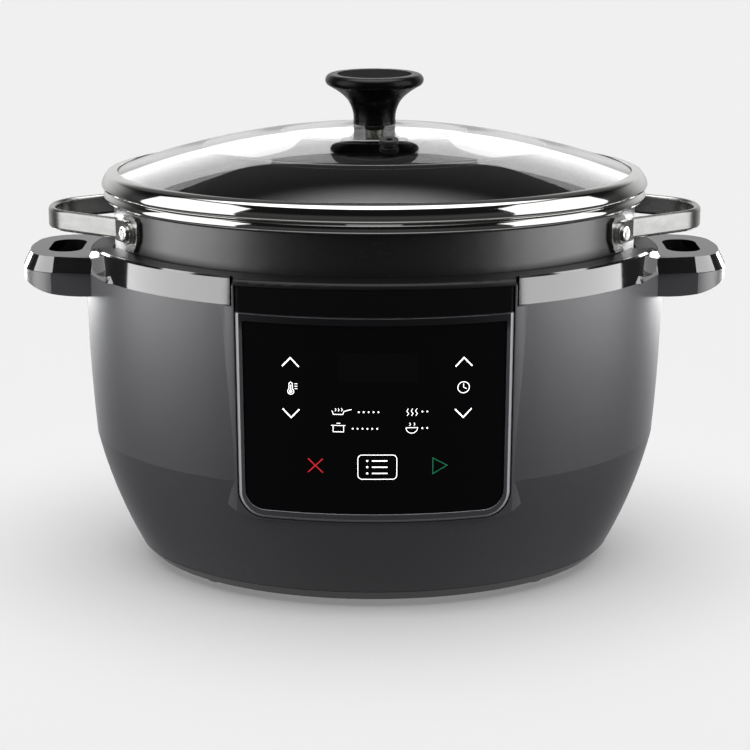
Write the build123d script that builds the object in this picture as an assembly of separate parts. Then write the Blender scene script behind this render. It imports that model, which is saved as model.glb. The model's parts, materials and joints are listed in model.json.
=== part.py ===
from build123d import *
import os
from math import atan2, cos, degrees, pi, radians, sin, sqrt

os.makedirs("parts", exist_ok=True)

# An oval multi-function slow cooker. Millimetres, +Z up, +X to the user's right, front towards -Y.
# The pieces are drawn about the pot's own axis. A "radius" of an oval is its half-width along X,
# and its half-depth along Y is OVAL times that.
OVAL = 0.78

# Heights from the table up
FOOT_H = 4.5
COVER_TOP = 10.4
CREASE_Z = 79.0
SEAM_Z = 181.3
DECK_Z = 197.0
HANDLE_TOP_Z = 190.0
POT_FLOOR_Z = 66.0
POT_TOP_Z = 226.8
LID_Z = 227.3
LID_BAND_TOP = 235.4
DOME_TOP = 263.6

# Oval half-widths
COVER_R = 139.0
HOUSING_FOOT_R = 145.0
CREASE_R = 169.9
HOUSING_R = 173.4
HOUSING_WALL = 2.6
DECK_IN_R = 157.3
DECK_OUT_R = 169.9
POT_R = 155.5
POT_WALL = 2.8
RIM_R = 161.5
LID_R = 162.5
LINER_TOP_R = 158.0
LINER_LOW_R = 153.5

# Control panel: a shallow vertical barrel that leans back towards the bottom
PANEL_R = 262.0
PANEL_FRONT = 138.2
PANEL_PIVOT_Z = 190.0
PANEL_LEAN = 3.9
BEZEL_HALF = 76.6
BEZEL_LOW = 57.5
BEZEL_TOP = 177.4
BEZEL_CORNER = 15.0
GLASS_HALF = 72.6
GLASS_LOW = 62.8
GLASS_TOP = 173.3
STRIP_LOW = 178.2
STRIP_TOP = 193.2
BEVEL = 2.2

# Carrying handles at the two ends
HANDLE_TIP = 211.5
HANDLE_DRAFT = 27.0
HANDLE_HALF = 36.0
GRIP_DEPTH = 14.2
HOLE_IN = 174.8
HOLE_OUT = 195.0
HOLE_HALF = 18.5

# Pot handles
LOOP_TIP = 195.2
LOOP_Z = 203.0
LOOP_H = 12.5
LOOP_T = 4.2
LOOP_ROOT_Y = 55.0
LOOP_CORNER_Y = 17.0
BOSS_Z = 208.6

# Heating, sensing and power, inside the base
LINER_FLOOR = 48.0
PLATE_TOP = 65.7
ELEMENT_R = 72.0
ELEMENT_Z = 55.2
ELEMENT_TUBE = 3.2
ELEMENT_END = 10.0
SENSOR_STEM = 3.0
SPRING_R = 7.2
SPRING_WIRE = 0.6
BOARD_Y = -130.6
INLET_Y = 127.5
INLET_Z = 33.0
INLET_PINS = [(-7, INLET_Z), (7, INLET_Z), (0, INLET_Z + 4)]

# Pot wall and lid
POT_LOW_R = 149.5
RIVET_R = 2.4
LID_GLASS = 3.5
DOME_HOLE = 3.2
VENT_X = 8.4
VENT_Y = -48.0
KNOB_FOOT = 266.0
KNOB_TOP = 293.3

# Running gaps between pieces
GAP = 0.3
TIGHT = 0.1
BIG = 500.0

# The panel stands out in front, so everything moves back by this to centre the whole in depth.
CENTRE_Y = 1.68


def save(name, *shapes):
    """Write one node, which may be a group of separate solids."""
    moved = [Pos(0, CENTRE_Y, 0) * shape for shape in shapes]
    shape = moved[0] if len(moved) == 1 else Compound(children=moved)
    export_step(shape, f"parts/{name}.step")


def squeeze(shape):
    """Turn a round shape into an oval one."""
    return scale(shape, by=(1, OVAL, 1))


def turned(*edges):
    """Revolve a closed outline of (radius, height) edges about Z, then make it oval."""
    return squeeze(revolve(make_face([Plane.XZ * edge for edge in edges]), Axis.Z))


def turned_poly(*points):
    """The same for an outline of straight edges."""
    return squeeze(revolve(Plane.XZ * make_face(Polyline(*points, close=True)), Axis.Z))


def oval_disc(radius, low, high):
    """Upright oval disc."""
    return Pos(0, 0, low) * extrude(Ellipse(radius, radius * OVAL), high - low)


def oval_ring(inner, outer, low, high):
    """Upright oval ring with straight walls."""
    return oval_disc(outer, low, high) - oval_disc(inner, low - 1, high + 1)


def block(x0, x1, y0, y1, z0, z1):
    """Box between two corners."""
    middle = Pos((x0 + x1) / 2, (y0 + y1) / 2, (z0 + z1) / 2)
    return middle * Box(x1 - x0, y1 - y0, z1 - z0)


def rod(x, y, z0, z1, radius):
    """Upright cylinder."""
    return Pos(x, y, (z0 + z1) / 2) * Cylinder(radius, z1 - z0)


def left(shape):
    """Mirror a right-hand piece to the left-hand side."""
    return mirror(shape, about=Plane.YZ)


def four_corners(x, y):
    """The four points that mirror one another."""
    return [(sx * x, sy * y) for sx in (-1, 1) for sy in (-1, 1)]


def screw_up(x, y, z_head, head_r, shank_r, length):
    """Pan-head screw with a cross recess, driven upwards from below."""
    head = rod(x, y, z_head, z_head + 2.0, head_r)
    cross = block(x - 2, x + 2, y - 0.4, y + 0.4, z_head, z_head + 1.1)
    cross += block(x - 0.4, x + 0.4, y - 2, y + 2, z_head, z_head + 1.1)
    return head + rod(x, y, z_head + 2.0, z_head + length, shank_r) - cross


# ---------------------------------------------------------------- control panel geometry


def lean(shape):
    """Tip a panel piece back about the line across its top."""
    return shape.rotate(Axis((0, -PANEL_FRONT, PANEL_PIVOT_Z), (1, 0, 0)), PANEL_LEAN)


def panel_outline(half, low, high, corner, top_corner=0.8):
    """Upright plate outline with large lower corners."""
    face = Pos(0, (low + high) / 2) * Rectangle(2 * half, high - low)
    face = fillet(face.vertices().sort_by(Axis.Y)[:2], corner)
    return fillet(face.vertices().sort_by(Axis.Y)[-2:], top_corner)


def barrel(depth):
    """Solid behind the panel's front surface, shifted back by depth."""
    return Pos(0, PANEL_R - PANEL_FRONT, 120) * Cylinder(PANEL_R - depth, 300)


def panel_shell(outline, front, back):
    """Curved plate of the given outline between two depths behind the panel's front."""
    prism = extrude(Plane.XZ.offset(90) * outline, 70)
    return (prism & barrel(front)) - barrel(back)


def bezel_outline(extra=0.0):
    """The bezel's outer edge, or one that stands off it."""
    return panel_outline(
        BEZEL_HALF + extra, BEZEL_LOW - extra, BEZEL_TOP, BEZEL_CORNER + extra
    )


def glass_outline(extra=0.0):
    """The touch glass's edge."""
    return panel_outline(
        GLASS_HALF + extra, GLASS_LOW - extra, GLASS_TOP + extra, BEZEL_CORNER - 4 + extra, 1.5
    )


# ---------------------------------------------------------------- base: covers and liner


def housing_envelope():
    """Solid inside the housing's outer skin: a bowl below the crease, a steep wall above it."""
    bowl = ThreePointArc((HOUSING_FOOT_R, COVER_TOP + GAP), (158.6, 41.0), (CREASE_R, CREASE_Z))
    wall = ThreePointArc((CREASE_R, CREASE_Z), (172.4, 120.0), (HOUSING_R, SEAM_Z - TIGHT))
    top = Line((HOUSING_R, SEAM_Z - TIGHT), (0, SEAM_Z - TIGHT))
    axis = Line((0, SEAM_Z - TIGHT), (0, COVER_TOP + GAP))
    foot = Line((0, COVER_TOP + GAP), (HOUSING_FOOT_R, COVER_TOP + GAP))
    return turned(bowl, wall, top, axis, foot)


def housing_hollow():
    """The space inside the housing's wall, open at both ends."""
    wall = HOUSING_WALL
    bowl = ThreePointArc((141.9, COVER_TOP - 2), (156.3, 42.2), (CREASE_R - wall, CREASE_Z + 0.6))
    upper = ThreePointArc((CREASE_R - wall, CREASE_Z + 0.6), (169.8, 120.0), (170.8, SEAM_Z + 2))
    top = Line((170.8, SEAM_Z + 2), (0, SEAM_Z + 2))
    axis = Line((0, SEAM_Z + 2), (0, COVER_TOP - 2))
    foot = Line((0, COVER_TOP - 2), (141.9, COVER_TOP - 2))
    return turned(bowl, upper, top, axis, foot)


def panel_pad():
    """Raised seat for the control panel, with a hollow flank down each side."""
    axis_y = PANEL_R - PANEL_FRONT
    front_r = PANEL_R - 0.8
    half = BEZEL_HALF + 0.9
    edge_y = axis_y - sqrt(front_r**2 - half**2)
    toe = (half + 7.5, edge_y + 8.4)
    flank = RadiusArc((half, edge_y), toe, -16)
    nose = ThreePointArc((-half, edge_y), (0, axis_y - front_r), (half, edge_y))
    back = Polyline(toe, (toe[0], -100), (-toe[0], -100), (-toe[0], toe[1]))
    plan = make_face([nose, flank, mirror(flank, about=Plane.YZ), back])
    pad = Pos(0, 0, BEZEL_LOW - 0.9) * extrude(plan, STRIP_TOP - BEZEL_LOW + 0.9)
    outline = extrude(
        Plane.XZ.offset(90) * panel_outline(100, BEZEL_LOW - 0.9, STRIP_TOP, BEZEL_CORNER + 22), 70
    )
    return pad & outline


def panel_cut():
    """Shallow recess for the bezel and strip, and the window for the electronics."""
    seat = panel_outline(BEZEL_HALF + 0.3, BEZEL_LOW - 0.3, STRIP_TOP + 10, BEZEL_CORNER + 0.3)
    recess = extrude(Plane.XZ.offset(90) * seat, 70) - barrel(3.2)
    window = extrude(Plane.XZ.offset(95) * panel_outline(66, 74, 168, 8, 8), 65)
    return recess + window


def cover_bosses(reach):
    """Screw pillars inside the housing's foot, each tied to the wall by a rib."""
    bosses = []
    for x, y in four_corners(112, 52):
        bosses.append(rod(x, y, COVER_TOP + 2.9, 34, 4.5))
        rib = Rot(0, 0, degrees(atan2(y, x))) * block(0, 40, -1.3, 1.3, COVER_TOP + 2.9, 34)
        bosses.append((Pos(x, y, 0) * rib) & reach)
    return bosses


def outer_housing():
    envelope = housing_envelope()
    above_seam = block(-BIG, BIG, -BIG, BIG, STRIP_TOP + 0.2, BIG) + oval_disc(170.3, SEAM_Z - TIGHT, 220)
    for side in (-1, 1):
        outer_x = side * (BEZEL_HALF + 1.4)
        above_seam += block(min(outer_x, side * BIG), max(outer_x, side * BIG), -BIG, 0, SEAM_Z - TIGHT, 220)
    shell = envelope + (lean(panel_pad()) - above_seam)
    inlet_seat = block(-30, 30, 95, INLET_Y - TIGHT, INLET_Z - 16, INLET_Z + 16)
    inlet_seat = fillet(inlet_seat.edges().filter_by(Axis.Y), 7)
    shell = shell + inlet_seat - housing_hollow()
    shell = shell + (oval_ring(164.5, 171.5, 178, SEAM_Z - TIGHT))
    for boss in cover_bosses(envelope):
        shell = shell + boss
    shell = shell - lean(panel_cut()) - inlet_hole()
    for x, y in four_corners(112, 52):
        shell = shell - rod(x, y, COVER_TOP, 30, 1.5)
    for x in (-22.5, 22.5):
        shell = shell - Pos(x, INLET_Y, INLET_Z) * Rot(90, 0, 0) * Cylinder(1.3, 20)
    return shell


def inlet_hole():
    """Hole in the back wall for the mains inlet's body."""
    return block(-15.3, 15.3, 80, 140, INLET_Z - 9.8, INLET_Z + 9.8)


def base_cover():
    """Floor of the base: its bevelled edge shows under the housing."""
    rim = COVER_R + (COVER_TOP - FOOT_H)
    cover = turned_poly(
        (0, FOOT_H), (COVER_R, FOOT_H), (rim, COVER_TOP), (141.5, COVER_TOP),
        (141.5, COVER_TOP + 2.6), (139.0, COVER_TOP + 2.6), (136.0, FOOT_H + 3), (0, FOOT_H + 3),
    )
    for x, y in four_corners(70, 45):
        cover = cover + rod(x, y, FOOT_H, 43.2, 4)
    for column in range(-3, 4):
        for y in (-72, 72):
            cover = cover - block(column * 9 - 1.6, column * 9 + 1.6, y - 12, y + 12, 0, 20)
    for x, y in four_corners(112, 52):
        cover = cover - rod(x, y, 0, 20, 1.9) - rod(x, y, 0, FOOT_H + 1.2, 4.2)
    for x, y in four_corners(92, 62):
        cover = cover - rod(x, y, 0, 20, 3.1)
    return cover


def feet():
    """Soft feet, each held by a plug through the cover."""
    pads = []
    for x, y in four_corners(92, 62):
        foot = rod(x, y, 0, FOOT_H - TIGHT, 9) + rod(x, y, FOOT_H - 0.2, FOOT_H + 4.5, 2.9)
        pads.append(chamfer(foot.edges().sort_by(Axis.Z)[0], 1.0))
    return pads


def deck_ring():
    """Satin ring between the pot and the trim, dipping at the two handles."""
    deck = turned_poly(
        (DECK_IN_R, 187), (DECK_IN_R, DECK_Z - 1), (DECK_IN_R + 1, DECK_Z), (DECK_OUT_R, DECK_Z),
        (DECK_OUT_R, 182.7), (167.4, 182.7), (167.4, 193.4), (159.5, 193.4), (159.5, 187),
    )
    floor = oval_ring(158.0, 169.0, 186.8, HANDLE_TOP_Z)
    deck = deck + (floor & (block(130, 180, -52, 52, 180, 200) + block(-180, -130, -52, 52, 180, 200)))
    return deck + panel_brow() - handle_dip()


def panel_brow():
    """Lip that carries the deck forwards over the top strip."""
    axis_y = PANEL_R - PANEL_FRONT
    half = BEZEL_HALF + 0.4
    edge_y = axis_y - sqrt(PANEL_R**2 - half**2)
    nose = ThreePointArc((-half, edge_y), (0, -PANEL_FRONT), (half, edge_y))
    sides = Polyline((half, edge_y), (half, -100), (-half, -100), (-half, edge_y))
    brow = Pos(0, 0, STRIP_TOP + 0.4) * extrude(make_face([nose, sides]), DECK_Z - STRIP_TOP - 0.4)
    edge = brow.edges().filter_by(GeomType.CIRCLE).sort_by(Axis.Z)[-1]
    return fillet(edge, 3.0) - oval_disc(DECK_IN_R + 1, 150, 220)


def handle_dip():
    """Wedge cut that drops the rim to the handles' top at both ends."""
    low, high = HANDLE_HALF - 4, HANDLE_HALF + 8
    rise = DECK_Z - HANDLE_TOP_Z + 1.5
    outline = Polyline(
        (-low, HANDLE_TOP_Z), (low, HANDLE_TOP_Z), (high, HANDLE_TOP_Z + rise),
        (-high, HANDLE_TOP_Z + rise), close=True,
    )
    cut = Plane.YZ.offset(120) * make_face(outline)
    right = extrude(cut, 120)
    return right + left(right)


# ---------------------------------------------------------------- trim and carrying handles


def handle_plan(grow=0.0):
    """Plan outline of the right-hand handle loop, without its finger hole."""
    tip = HANDLE_TIP - 4 + grow
    half = HANDLE_HALF + grow
    outline = make_face(
        Polyline(
            (130, -half - 34), (153, -half - 27), (166, -half - 2), (tip - 5, -half + 6),
            (tip, 0), (tip - 5, half - 6), (166, half + 2), (153, half + 27), (130, half + 34),
            close=True,
        )
    )
    corners = [v for v in outline.vertices() if abs(v.X - tip + 5) < 0.1]
    outline = fillet(corners, 25)
    tip_corner = [v for v in outline.vertices() if v.X > tip - 0.1]
    return fillet(tip_corner, 50)


def finger_hole(low, high):
    """Slot through the handle loop."""
    slot = RectangleRounded(HOLE_OUT - HOLE_IN, 2 * HOLE_HALF, 9.0)
    return Pos((HOLE_IN + HOLE_OUT) / 2, 0, low) * extrude(slot, high - low)


def trim_right():
    """Gloss band round the right half of the rim, in one piece with the handle's top."""
    band = turned_poly(
        (170.2, SEAM_Z), (HOUSING_R, SEAM_Z), (172.2, DECK_Z - 1), (171.2, DECK_Z), (170.2, DECK_Z)
    )
    keep = block(0.2, 200, 0, 200, 170, 210) + block(BEZEL_HALF + 2.6, 200, -200, 0.1, 170, 210)
    band = band & keep
    rise = HANDLE_TOP_Z - SEAM_Z
    cap = Pos(0, 0, SEAM_Z) * extrude(handle_plan(4.0), rise, taper=HANDLE_DRAFT)
    cap = cap - oval_disc(170.2, 170, 210)
    trim = band + cap - handle_dip() - finger_hole(170, 210)
    for y in (-25, 25):
        trim = trim - rod(186, y, 170, SEAM_Z + 6, 1.3)
    return trim


def grip_right():
    """Grey lower half of the right-hand handle, swept up towards its tip."""
    depth = GRIP_DEPTH
    reach = HANDLE_TIP - 172.0
    plan = extrude(handle_plan(4.0), BIG)
    side = Plane.XZ.offset(-90) * (Pos(172, SEAM_Z - GAP) * Ellipse(reach, depth))
    root = Plane.XZ.offset(-90) * (Pos(150, SEAM_Z - GAP - depth / 2) * Rectangle(44, depth))
    belly = extrude(side, 180) + extrude(root, 180)
    grip = (plan & belly & block(140, 230, -90, 90, 150, SEAM_Z - GAP)) - housing_envelope()
    grip = grip & block(165.0, 230, -HANDLE_HALF - 1.2, HANDLE_HALF + 1.2, 150, 200)
    grip = grip - finger_hole(150, 200)
    for y in (-25, 25):
        grip = grip - rod(186, y, 150, 200, 1.7) - rod(186, y, 150, SEAM_Z - 5.7, 3.2)
    return grip


def handle_screws():
    screws = []
    for x in (-186, 186):
        for y in (-25, 25):
            screws.append(screw_up(x, y, SEAM_Z - 7.9, 2.9, 1.2, 12))
    return screws


# ---------------------------------------------------------------- control panel


def bevelled_plate(low, high, corner):
    """Curved plate of the bezel's width, bevelled all round its front, then cut off square on top."""
    plate = panel_shell(panel_outline(BEZEL_HALF, low, high + 20, corner, 8), -0.2, 3.0)
    rim = plate.faces().sort_by(Axis.Y)[0].outer_wire().edges()
    return chamfer(rim, BEVEL) - block(-100, 100, -170, -90, high, high + 40)


def control_bezel():
    frame = bevelled_plate(BEZEL_LOW, BEZEL_TOP, BEZEL_CORNER)
    return lean(frame - panel_shell(glass_outline(TIGHT), -5, 9))


def top_strip():
    strip = bevelled_plate(STRIP_LOW - 20, STRIP_TOP, 8)
    strip = lean(strip - block(-100, 100, -170, -90, STRIP_LOW - 40, STRIP_LOW))
    return strip - block(-100, 100, -170, -90, STRIP_TOP + 0.1, STRIP_TOP + 20)


def panel_glass():
    return lean(panel_shell(glass_outline(), 0.5, 2.5))


def touch_film():
    return lean(panel_shell(panel_outline(64, 70, 168, 6, 6), 2.6, 3.0))


def panel_carrier():
    """Moulded frame behind the glass, with a window for the display."""
    plate = panel_shell(panel_outline(65.6, 74.4, 167.6, 7.6, 7.6), 3.3, 5.3)
    carrier = plate - block(-31, 31, -150, -100, 128, 156)
    for x, z in board_posts():
        boss = Pos(x, -132.05, z) * Rot(90, 0, 0) * Cylinder(3.2, 2.5)
        carrier = carrier + boss - Pos(x, -132, z) * Rot(90, 0, 0) * Cylinder(1.0, 3.6)
    return lean(carrier)


def board_posts():
    """Fixing points of the control board, in the panel's own upright frame."""
    return [(-26, 105), (26, 105), (-26, 162), (26, 162)]


def control_board():
    """Flat board behind the carrier: touch controller and display driver."""
    board = block(-31, 31, BOARD_Y, BOARD_Y + 1.6, 100, 167)
    for x, z in board_posts():
        board = board - Pos(x, BOARD_Y, z) * Rot(90, 0, 0) * Cylinder(1.3, 10)
    chips = block(-8, 8, BOARD_Y + 1.6, BOARD_Y + 2.8, 126, 138)
    chips += block(14, 22, BOARD_Y + 1.6, BOARD_Y + 2.6, 112, 118)
    chips += block(-22, -14, BOARD_Y + 1.6, BOARD_Y + 2.6, 112, 118)
    return lean(board + chips)


def display_module():
    """Numeric display standing on the front of the control board."""
    return lean(block(-24, 24, -133.7, BOARD_Y - TIGHT, 133, 151))


def board_screws():
    screws = []
    for x, z in board_posts():
        shank = Pos(x, BOARD_Y + 0.5, z) * Rot(90, 0, 0) * Cylinder(0.95, 2.4)
        head = Pos(x, BOARD_Y + 2.3, z) * Rot(90, 0, 0) * Cylinder(2.0, 1.2)
        screws.append(lean(shank + head))
    return screws


# ---------------------------------------------------------------- heating and sensing


def inner_liner():
    """Pressed metal vessel that the pot hangs in, with a flange on the housing's ledge."""
    outline = Polyline(
        (6.6, LINER_FLOOR), (LINER_LOW_R - 1, LINER_FLOOR), (LINER_LOW_R, 66), (LINER_TOP_R, 181.3),
        (168.8, 181.3), (168.8, 182.3), (LINER_TOP_R - 1, 182.3), (LINER_LOW_R - 1, 66),
        (LINER_LOW_R - 2, LINER_FLOOR + 1), (6.6, LINER_FLOOR + 1), close=True,
    )
    face = make_face(outline)
    low = [v for v in face.vertices() if v.Y < LINER_FLOOR + 2 and v.X > 100]
    face = fillet(low, 8)
    liner = squeeze(revolve(Plane.XZ * face, Axis.Z))
    liner = liner - rod(0, 0, 40, 60, 9)
    for x in (-ELEMENT_END, ELEMENT_END):
        liner = liner - rod(x, -ELEMENT_R, 40, 60, 5)
    return liner


def heating_plate():
    """Cast plate that the pot stands on, grooved for the element below and bored for the sensor."""
    plate = turned_poly(
        (20, 56), (128, 56), (130, 58), (130, PLATE_TOP - 1.5), (128.5, PLATE_TOP), (20, PLATE_TOP)
    )
    plate = plate + rod(0, 0, 56, PLATE_TOP, 24) - rod(0, 0, 40, 80, 12.5)
    groove = Pos(0, 0, ELEMENT_Z) * Torus(ELEMENT_R, ELEMENT_TUBE + TIGHT)
    return plate - groove


def plate_pillars():
    return [rod(x, y, LINER_FLOOR + 1, 56, 5) for x, y in four_corners(96, 48)]


def heating_element():
    """Tubular heater bent into a ring, its two cold ends turned down through the floor."""
    ring = Pos(0, 0, ELEMENT_Z) * Torus(ELEMENT_R, ELEMENT_TUBE)
    gap = block(-ELEMENT_END, ELEMENT_END, -ELEMENT_R - 10, -ELEMENT_R + 10, 40, 70)
    element = ring - gap
    for x in (-ELEMENT_END, ELEMENT_END):
        element = element + Pos(x, -ELEMENT_R, ELEMENT_Z) * Sphere(ELEMENT_TUBE)
        element = element + rod(x, -ELEMENT_R, 41, ELEMENT_Z, ELEMENT_TUBE)
        element = element + rod(x, -ELEMENT_R, 36, 41, 1.5)
    return element


def heat_shield():
    """Reflector dish under the liner, standing on the cover's four columns."""
    dish = turned_poly(
        (0, 43.3), (94, 43.3), (98, 46.0), (97.3, 46.7), (93.6, 44.1), (0, 44.1)
    )
    dish = dish - rod(0, 0, 40, 50, 16)
    for x in (-ELEMENT_END, ELEMENT_END):
        dish = dish - rod(x, -ELEMENT_R, 40, 50, 7)
    return dish


def insulation():
    """Wool jacket round the liner, left open in front for the electronics."""
    jacket = turned_poly((155.5, 84), (166.5, 88), (168.6, 120), (169.2, 174), (159.0, 174))
    return jacket - block(-74, 74, -200, -60, 70, 190)


def sensor_bracket():
    """Guide sleeve for the temperature sensor, fixed to the liner's floor."""
    plate = rod(0, 0, LINER_FLOOR + 1, LINER_FLOOR + 2.5, 12)
    sleeve = rod(0, 0, LINER_FLOOR + 2.5, LINER_FLOOR + 5.5, 5.6)
    return plate + sleeve - rod(0, 0, 40, 60, SENSOR_STEM + 0.3)


def temperature_sensor():
    """Spring-loaded button that presses on the underside of the pot."""
    button = rod(0, 0, PLATE_TOP - 2.4, PLATE_TOP, 11)
    button = fillet(button.edges().sort_by(Axis.Z)[-1], 0.8)
    stem = rod(0, 0, LINER_FLOOR - 2.5, PLATE_TOP - 2.4, SENSOR_STEM)
    clip = rod(0, 0, LINER_FLOOR - 2.5, LINER_FLOOR - 1.3, SENSOR_STEM + 2.4)
    return button + stem + clip


def sensor_spring():
    """Coil spring between the guide sleeve's foot and the sensor's button."""
    low = LINER_FLOOR + 2.5 + SPRING_WIRE + TIGHT
    high = PLATE_TOP - 2.4 - SPRING_WIRE - TIGHT
    coil = Helix(pitch=(high - low) / 4, height=high - low, radius=SPRING_R)
    section = Plane(origin=coil @ 0, z_dir=coil % 0) * Circle(SPRING_WIRE)
    return Pos(0, 0, low) * sweep(section, path=coil)


def thermal_fuse():
    """Small cut-out clipped under the liner."""
    can = Pos(45, 0, LINER_FLOOR - 1.9) * Rot(0, 90, 0) * Cylinder(1.6, 12)
    clip = block(43, 47, -2.6, 2.6, LINER_FLOOR - 0.9, LINER_FLOOR - 0.1)
    return can + clip


# ---------------------------------------------------------------- mains and power board


def power_board():
    board = block(-100, -22, -34, 34, 17.0, 18.6)
    for x, y in [(-95, -29), (-95, 29), (-27, -29), (-27, 29)]:
        board = board - rod(x, y, 10, 30, 1.7)
    return board


def board_standoffs():
    """Pillars that hold the power board above the floor."""
    return [
        rod(x, y, FOOT_H + 3 + TIGHT, 16.9, 3) for x, y in [(-95, -29), (-95, 29), (-27, -29), (-27, 29)]
    ]


def transformer():
    core = block(-96, -72, -12, 12, 18.7, 34)
    bobbin = block(-93, -75, -16, 16, 21, 32)
    return core + bobbin


def relay():
    return block(-62, -46, 8, 28, 18.7, 34)


def capacitors():
    caps = []
    for x, y, r, h in [(-60, -22, 5, 18), (-46, -22, 4, 14), (-34, -20, 4, 12)]:
        caps.append(chamfer(rod(x, y, 18.7, 18.7 + h, r).edges().sort_by(Axis.Z)[-1], 0.6))
    return caps


def buzzer():
    can = rod(-36, 4, 18.7, 25.5, 6)
    return can - rod(-36, 4, 24.5, 26, 1.2)


def mains_inlet():
    """Appliance inlet in the back of the housing."""
    z = INLET_Z
    flange = block(-28, 28, INLET_Y, INLET_Y + 2.0, z - 13, z + 13)
    flange = fillet(flange.edges().filter_by(Axis.Y), 5)
    body = block(-15, 15, INLET_Y - 24, INLET_Y, z - 9.5, z + 9.5)
    inlet = flange + body - block(-12, 12, INLET_Y - 16, INLET_Y + 10, z - 8.2, z + 8.2)
    for x in (-22.5, 22.5):
        inlet = inlet - Pos(x, INLET_Y, z) * Rot(90, 0, 0) * Cylinder(1.8, 20)
    for x, pin_z in INLET_PINS:
        inlet = inlet - block(x - 1.1, x + 1.1, INLET_Y - 30, INLET_Y, pin_z - 2.1, pin_z + 2.1)
    return inlet


def inlet_pins():
    pins = []
    for x, z in INLET_PINS:
        pins.append(block(x - 1, x + 1, INLET_Y - 31, INLET_Y - 3, z - 2, z + 2))
    return pins


def inlet_screws():
    screws = []
    for x in (-22.5, 22.5):
        head = Pos(x, INLET_Y + 2.8, INLET_Z) * Rot(90, 0, 0) * Cylinder(3.2, 1.4)
        head = head - block(x - 2.2, x + 2.2, INLET_Y + 2.9, INLET_Y + 4, INLET_Z - 0.4, INLET_Z + 0.4)
        shank = Pos(x, INLET_Y - 2.4, INLET_Z) * Rot(90, 0, 0) * Cylinder(1.2, 9)
        screws.append(head + shank)
    return screws


def wire(radius, bend, *points):
    """Insulated wire along straight runs joined by round bends."""
    path = FilletPolyline(*points, radius=bend)
    section = Plane(origin=path @ 0, z_dir=path % 0) * Circle(radius)
    return sweep(section, path=path)


def mains_wires():
    """Live and neutral leads from the inlet's pins to the power board."""
    wires = []
    for x in (-7, 7):
        wires.append(
            wire(1.3, 8, (x, INLET_Y - 31.1, INLET_Z), (x, 78, INLET_Z), (x - 28, 50, 24), (x - 28, 22, 24))
        )
    return wires


def element_wires():
    """Leads from the power board to the heater's cold ends."""
    wires = []
    for x, y in [(-ELEMENT_END, -ELEMENT_R), (ELEMENT_END, -ELEMENT_R)]:
        wires.append(wire(1.3, 4, (x, y, 35.9), (x, y, 26), (x, y + 20, 26), (x - 6, y + 40, 26)))
    return wires


def ribbon_cable():
    """Flat cable up the front, from the power board to the control board."""
    front = [(-31, 19.6), (-108, 22), (-117.0, 42), (-121.8, 60), (-122.2, 99.5)]
    back = [(-121.6, 99.5), (-121.2, 60), (-116.4, 42), (-107.4, 22.6), (-31, 20.2)]
    return Pos(-36, 0, 0) * extrude(Plane.YZ * make_face(Polyline(*front, *back, close=True)), 12)


# ---------------------------------------------------------------- cooking pot


def pot_solid(radius_drop, floor, top, corner):
    """Tapered oval bucket form for the pot's outside or inside, upright above the handles' roots."""
    high, low = POT_R - radius_drop, POT_LOW_R - radius_drop
    face = make_face(Polyline((0, floor), (low, floor), (high, 190), (0, 190), close=True))
    foot = [v for v in face.vertices() if abs(v.X - low) < 0.01 and v.Y < floor + 0.1]
    bucket = squeeze(revolve(Plane.XZ * fillet(foot, corner), Axis.Z))
    return bucket + oval_disc(high, 190, top)


def cooking_pot():
    outside = pot_solid(0, POT_FLOOR_Z, POT_TOP_Z - 0.9, 18)
    pot = outside - pot_solid(POT_WALL, POT_FLOOR_Z + 4.5, POT_TOP_Z + 5, 16)
    for frame in bracket_frames():
        pot = pot - frame * Rot(0, 90, 0) * Cylinder(RIVET_R + TIGHT, 20)
    return pot


def pot_rim_band():
    """Rolled steel edge round the pot's mouth."""
    return turned(
        Line((POT_R + 0.1, 220.8), (RIM_R - 2.2, 220.8)),
        ThreePointArc((RIM_R - 2.2, 220.8), (RIM_R, 223.2), (RIM_R - 2.0, POT_TOP_Z)),
        Line((RIM_R - 2.0, POT_TOP_Z), (POT_R - POT_WALL, POT_TOP_Z)),
        Line((POT_R - POT_WALL, POT_TOP_Z), (POT_R - POT_WALL, POT_TOP_Z - 0.8)),
        Line((POT_R - POT_WALL, POT_TOP_Z - 0.8), (POT_R + 0.1, POT_TOP_Z - 0.8)),
        Line((POT_R + 0.1, POT_TOP_Z - 0.8), (POT_R + 0.1, 220.8)),
    )


def bracket_frames():
    """Placement of each handle bracket: local +X points straight out of the pot's wall."""
    frames = []
    for sx in (-1, 1):
        for sy in (-1, 1):
            y = LOOP_ROOT_Y
            x = POT_R * sqrt(1 - (y / (POT_R * OVAL)) ** 2)
            slope = atan2(y / OVAL**2, x)
            turn = degrees(atan2(sy * sin(slope), sx * cos(slope)))
            frames.append(Pos(sx * x, sy * y, BOSS_Z) * Rot(0, 0, turn))
    return frames


def pot_brackets():
    """Steel plates that carry the handle ends, pointed at the bottom."""
    plates = []
    outline = Polyline(
        (-9, 7), (-6, 9.5), (6, 9.5), (9, 7), (9, -3), (4, -11), (-4, -11), (-9, -3), close=True
    )
    for frame in bracket_frames():
        plate = Pos(0.15, 0, 0) * extrude(Plane.YZ * make_face(outline), 2.2)
        plate = plate - Rot(0, 90, 0) * Cylinder(RIVET_R + TIGHT, 20)
        plates.append(frame * plate)
    return plates


def pot_rivets():
    rivets = []
    for frame in bracket_frames():
        shank = Pos(1.5, 0, 0) * Rot(0, 90, 0) * Cylinder(RIVET_R, 12.6)
        outer = Pos(6.6, 0, 0) * Rot(0, 90, 0) * Cylinder(4.4, 2.0)
        outer = fillet(outer.edges().sort_by(Axis.X)[-1], 1.2)
        inner = Pos(-4.6, 0, 0) * Rot(0, 90, 0) * Cylinder(5.0, 1.8)
        inner = fillet(inner.edges().sort_by(Axis.X)[0], 1.0)
        rivets.append(frame * (shank + outer + inner))
    return rivets


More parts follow.
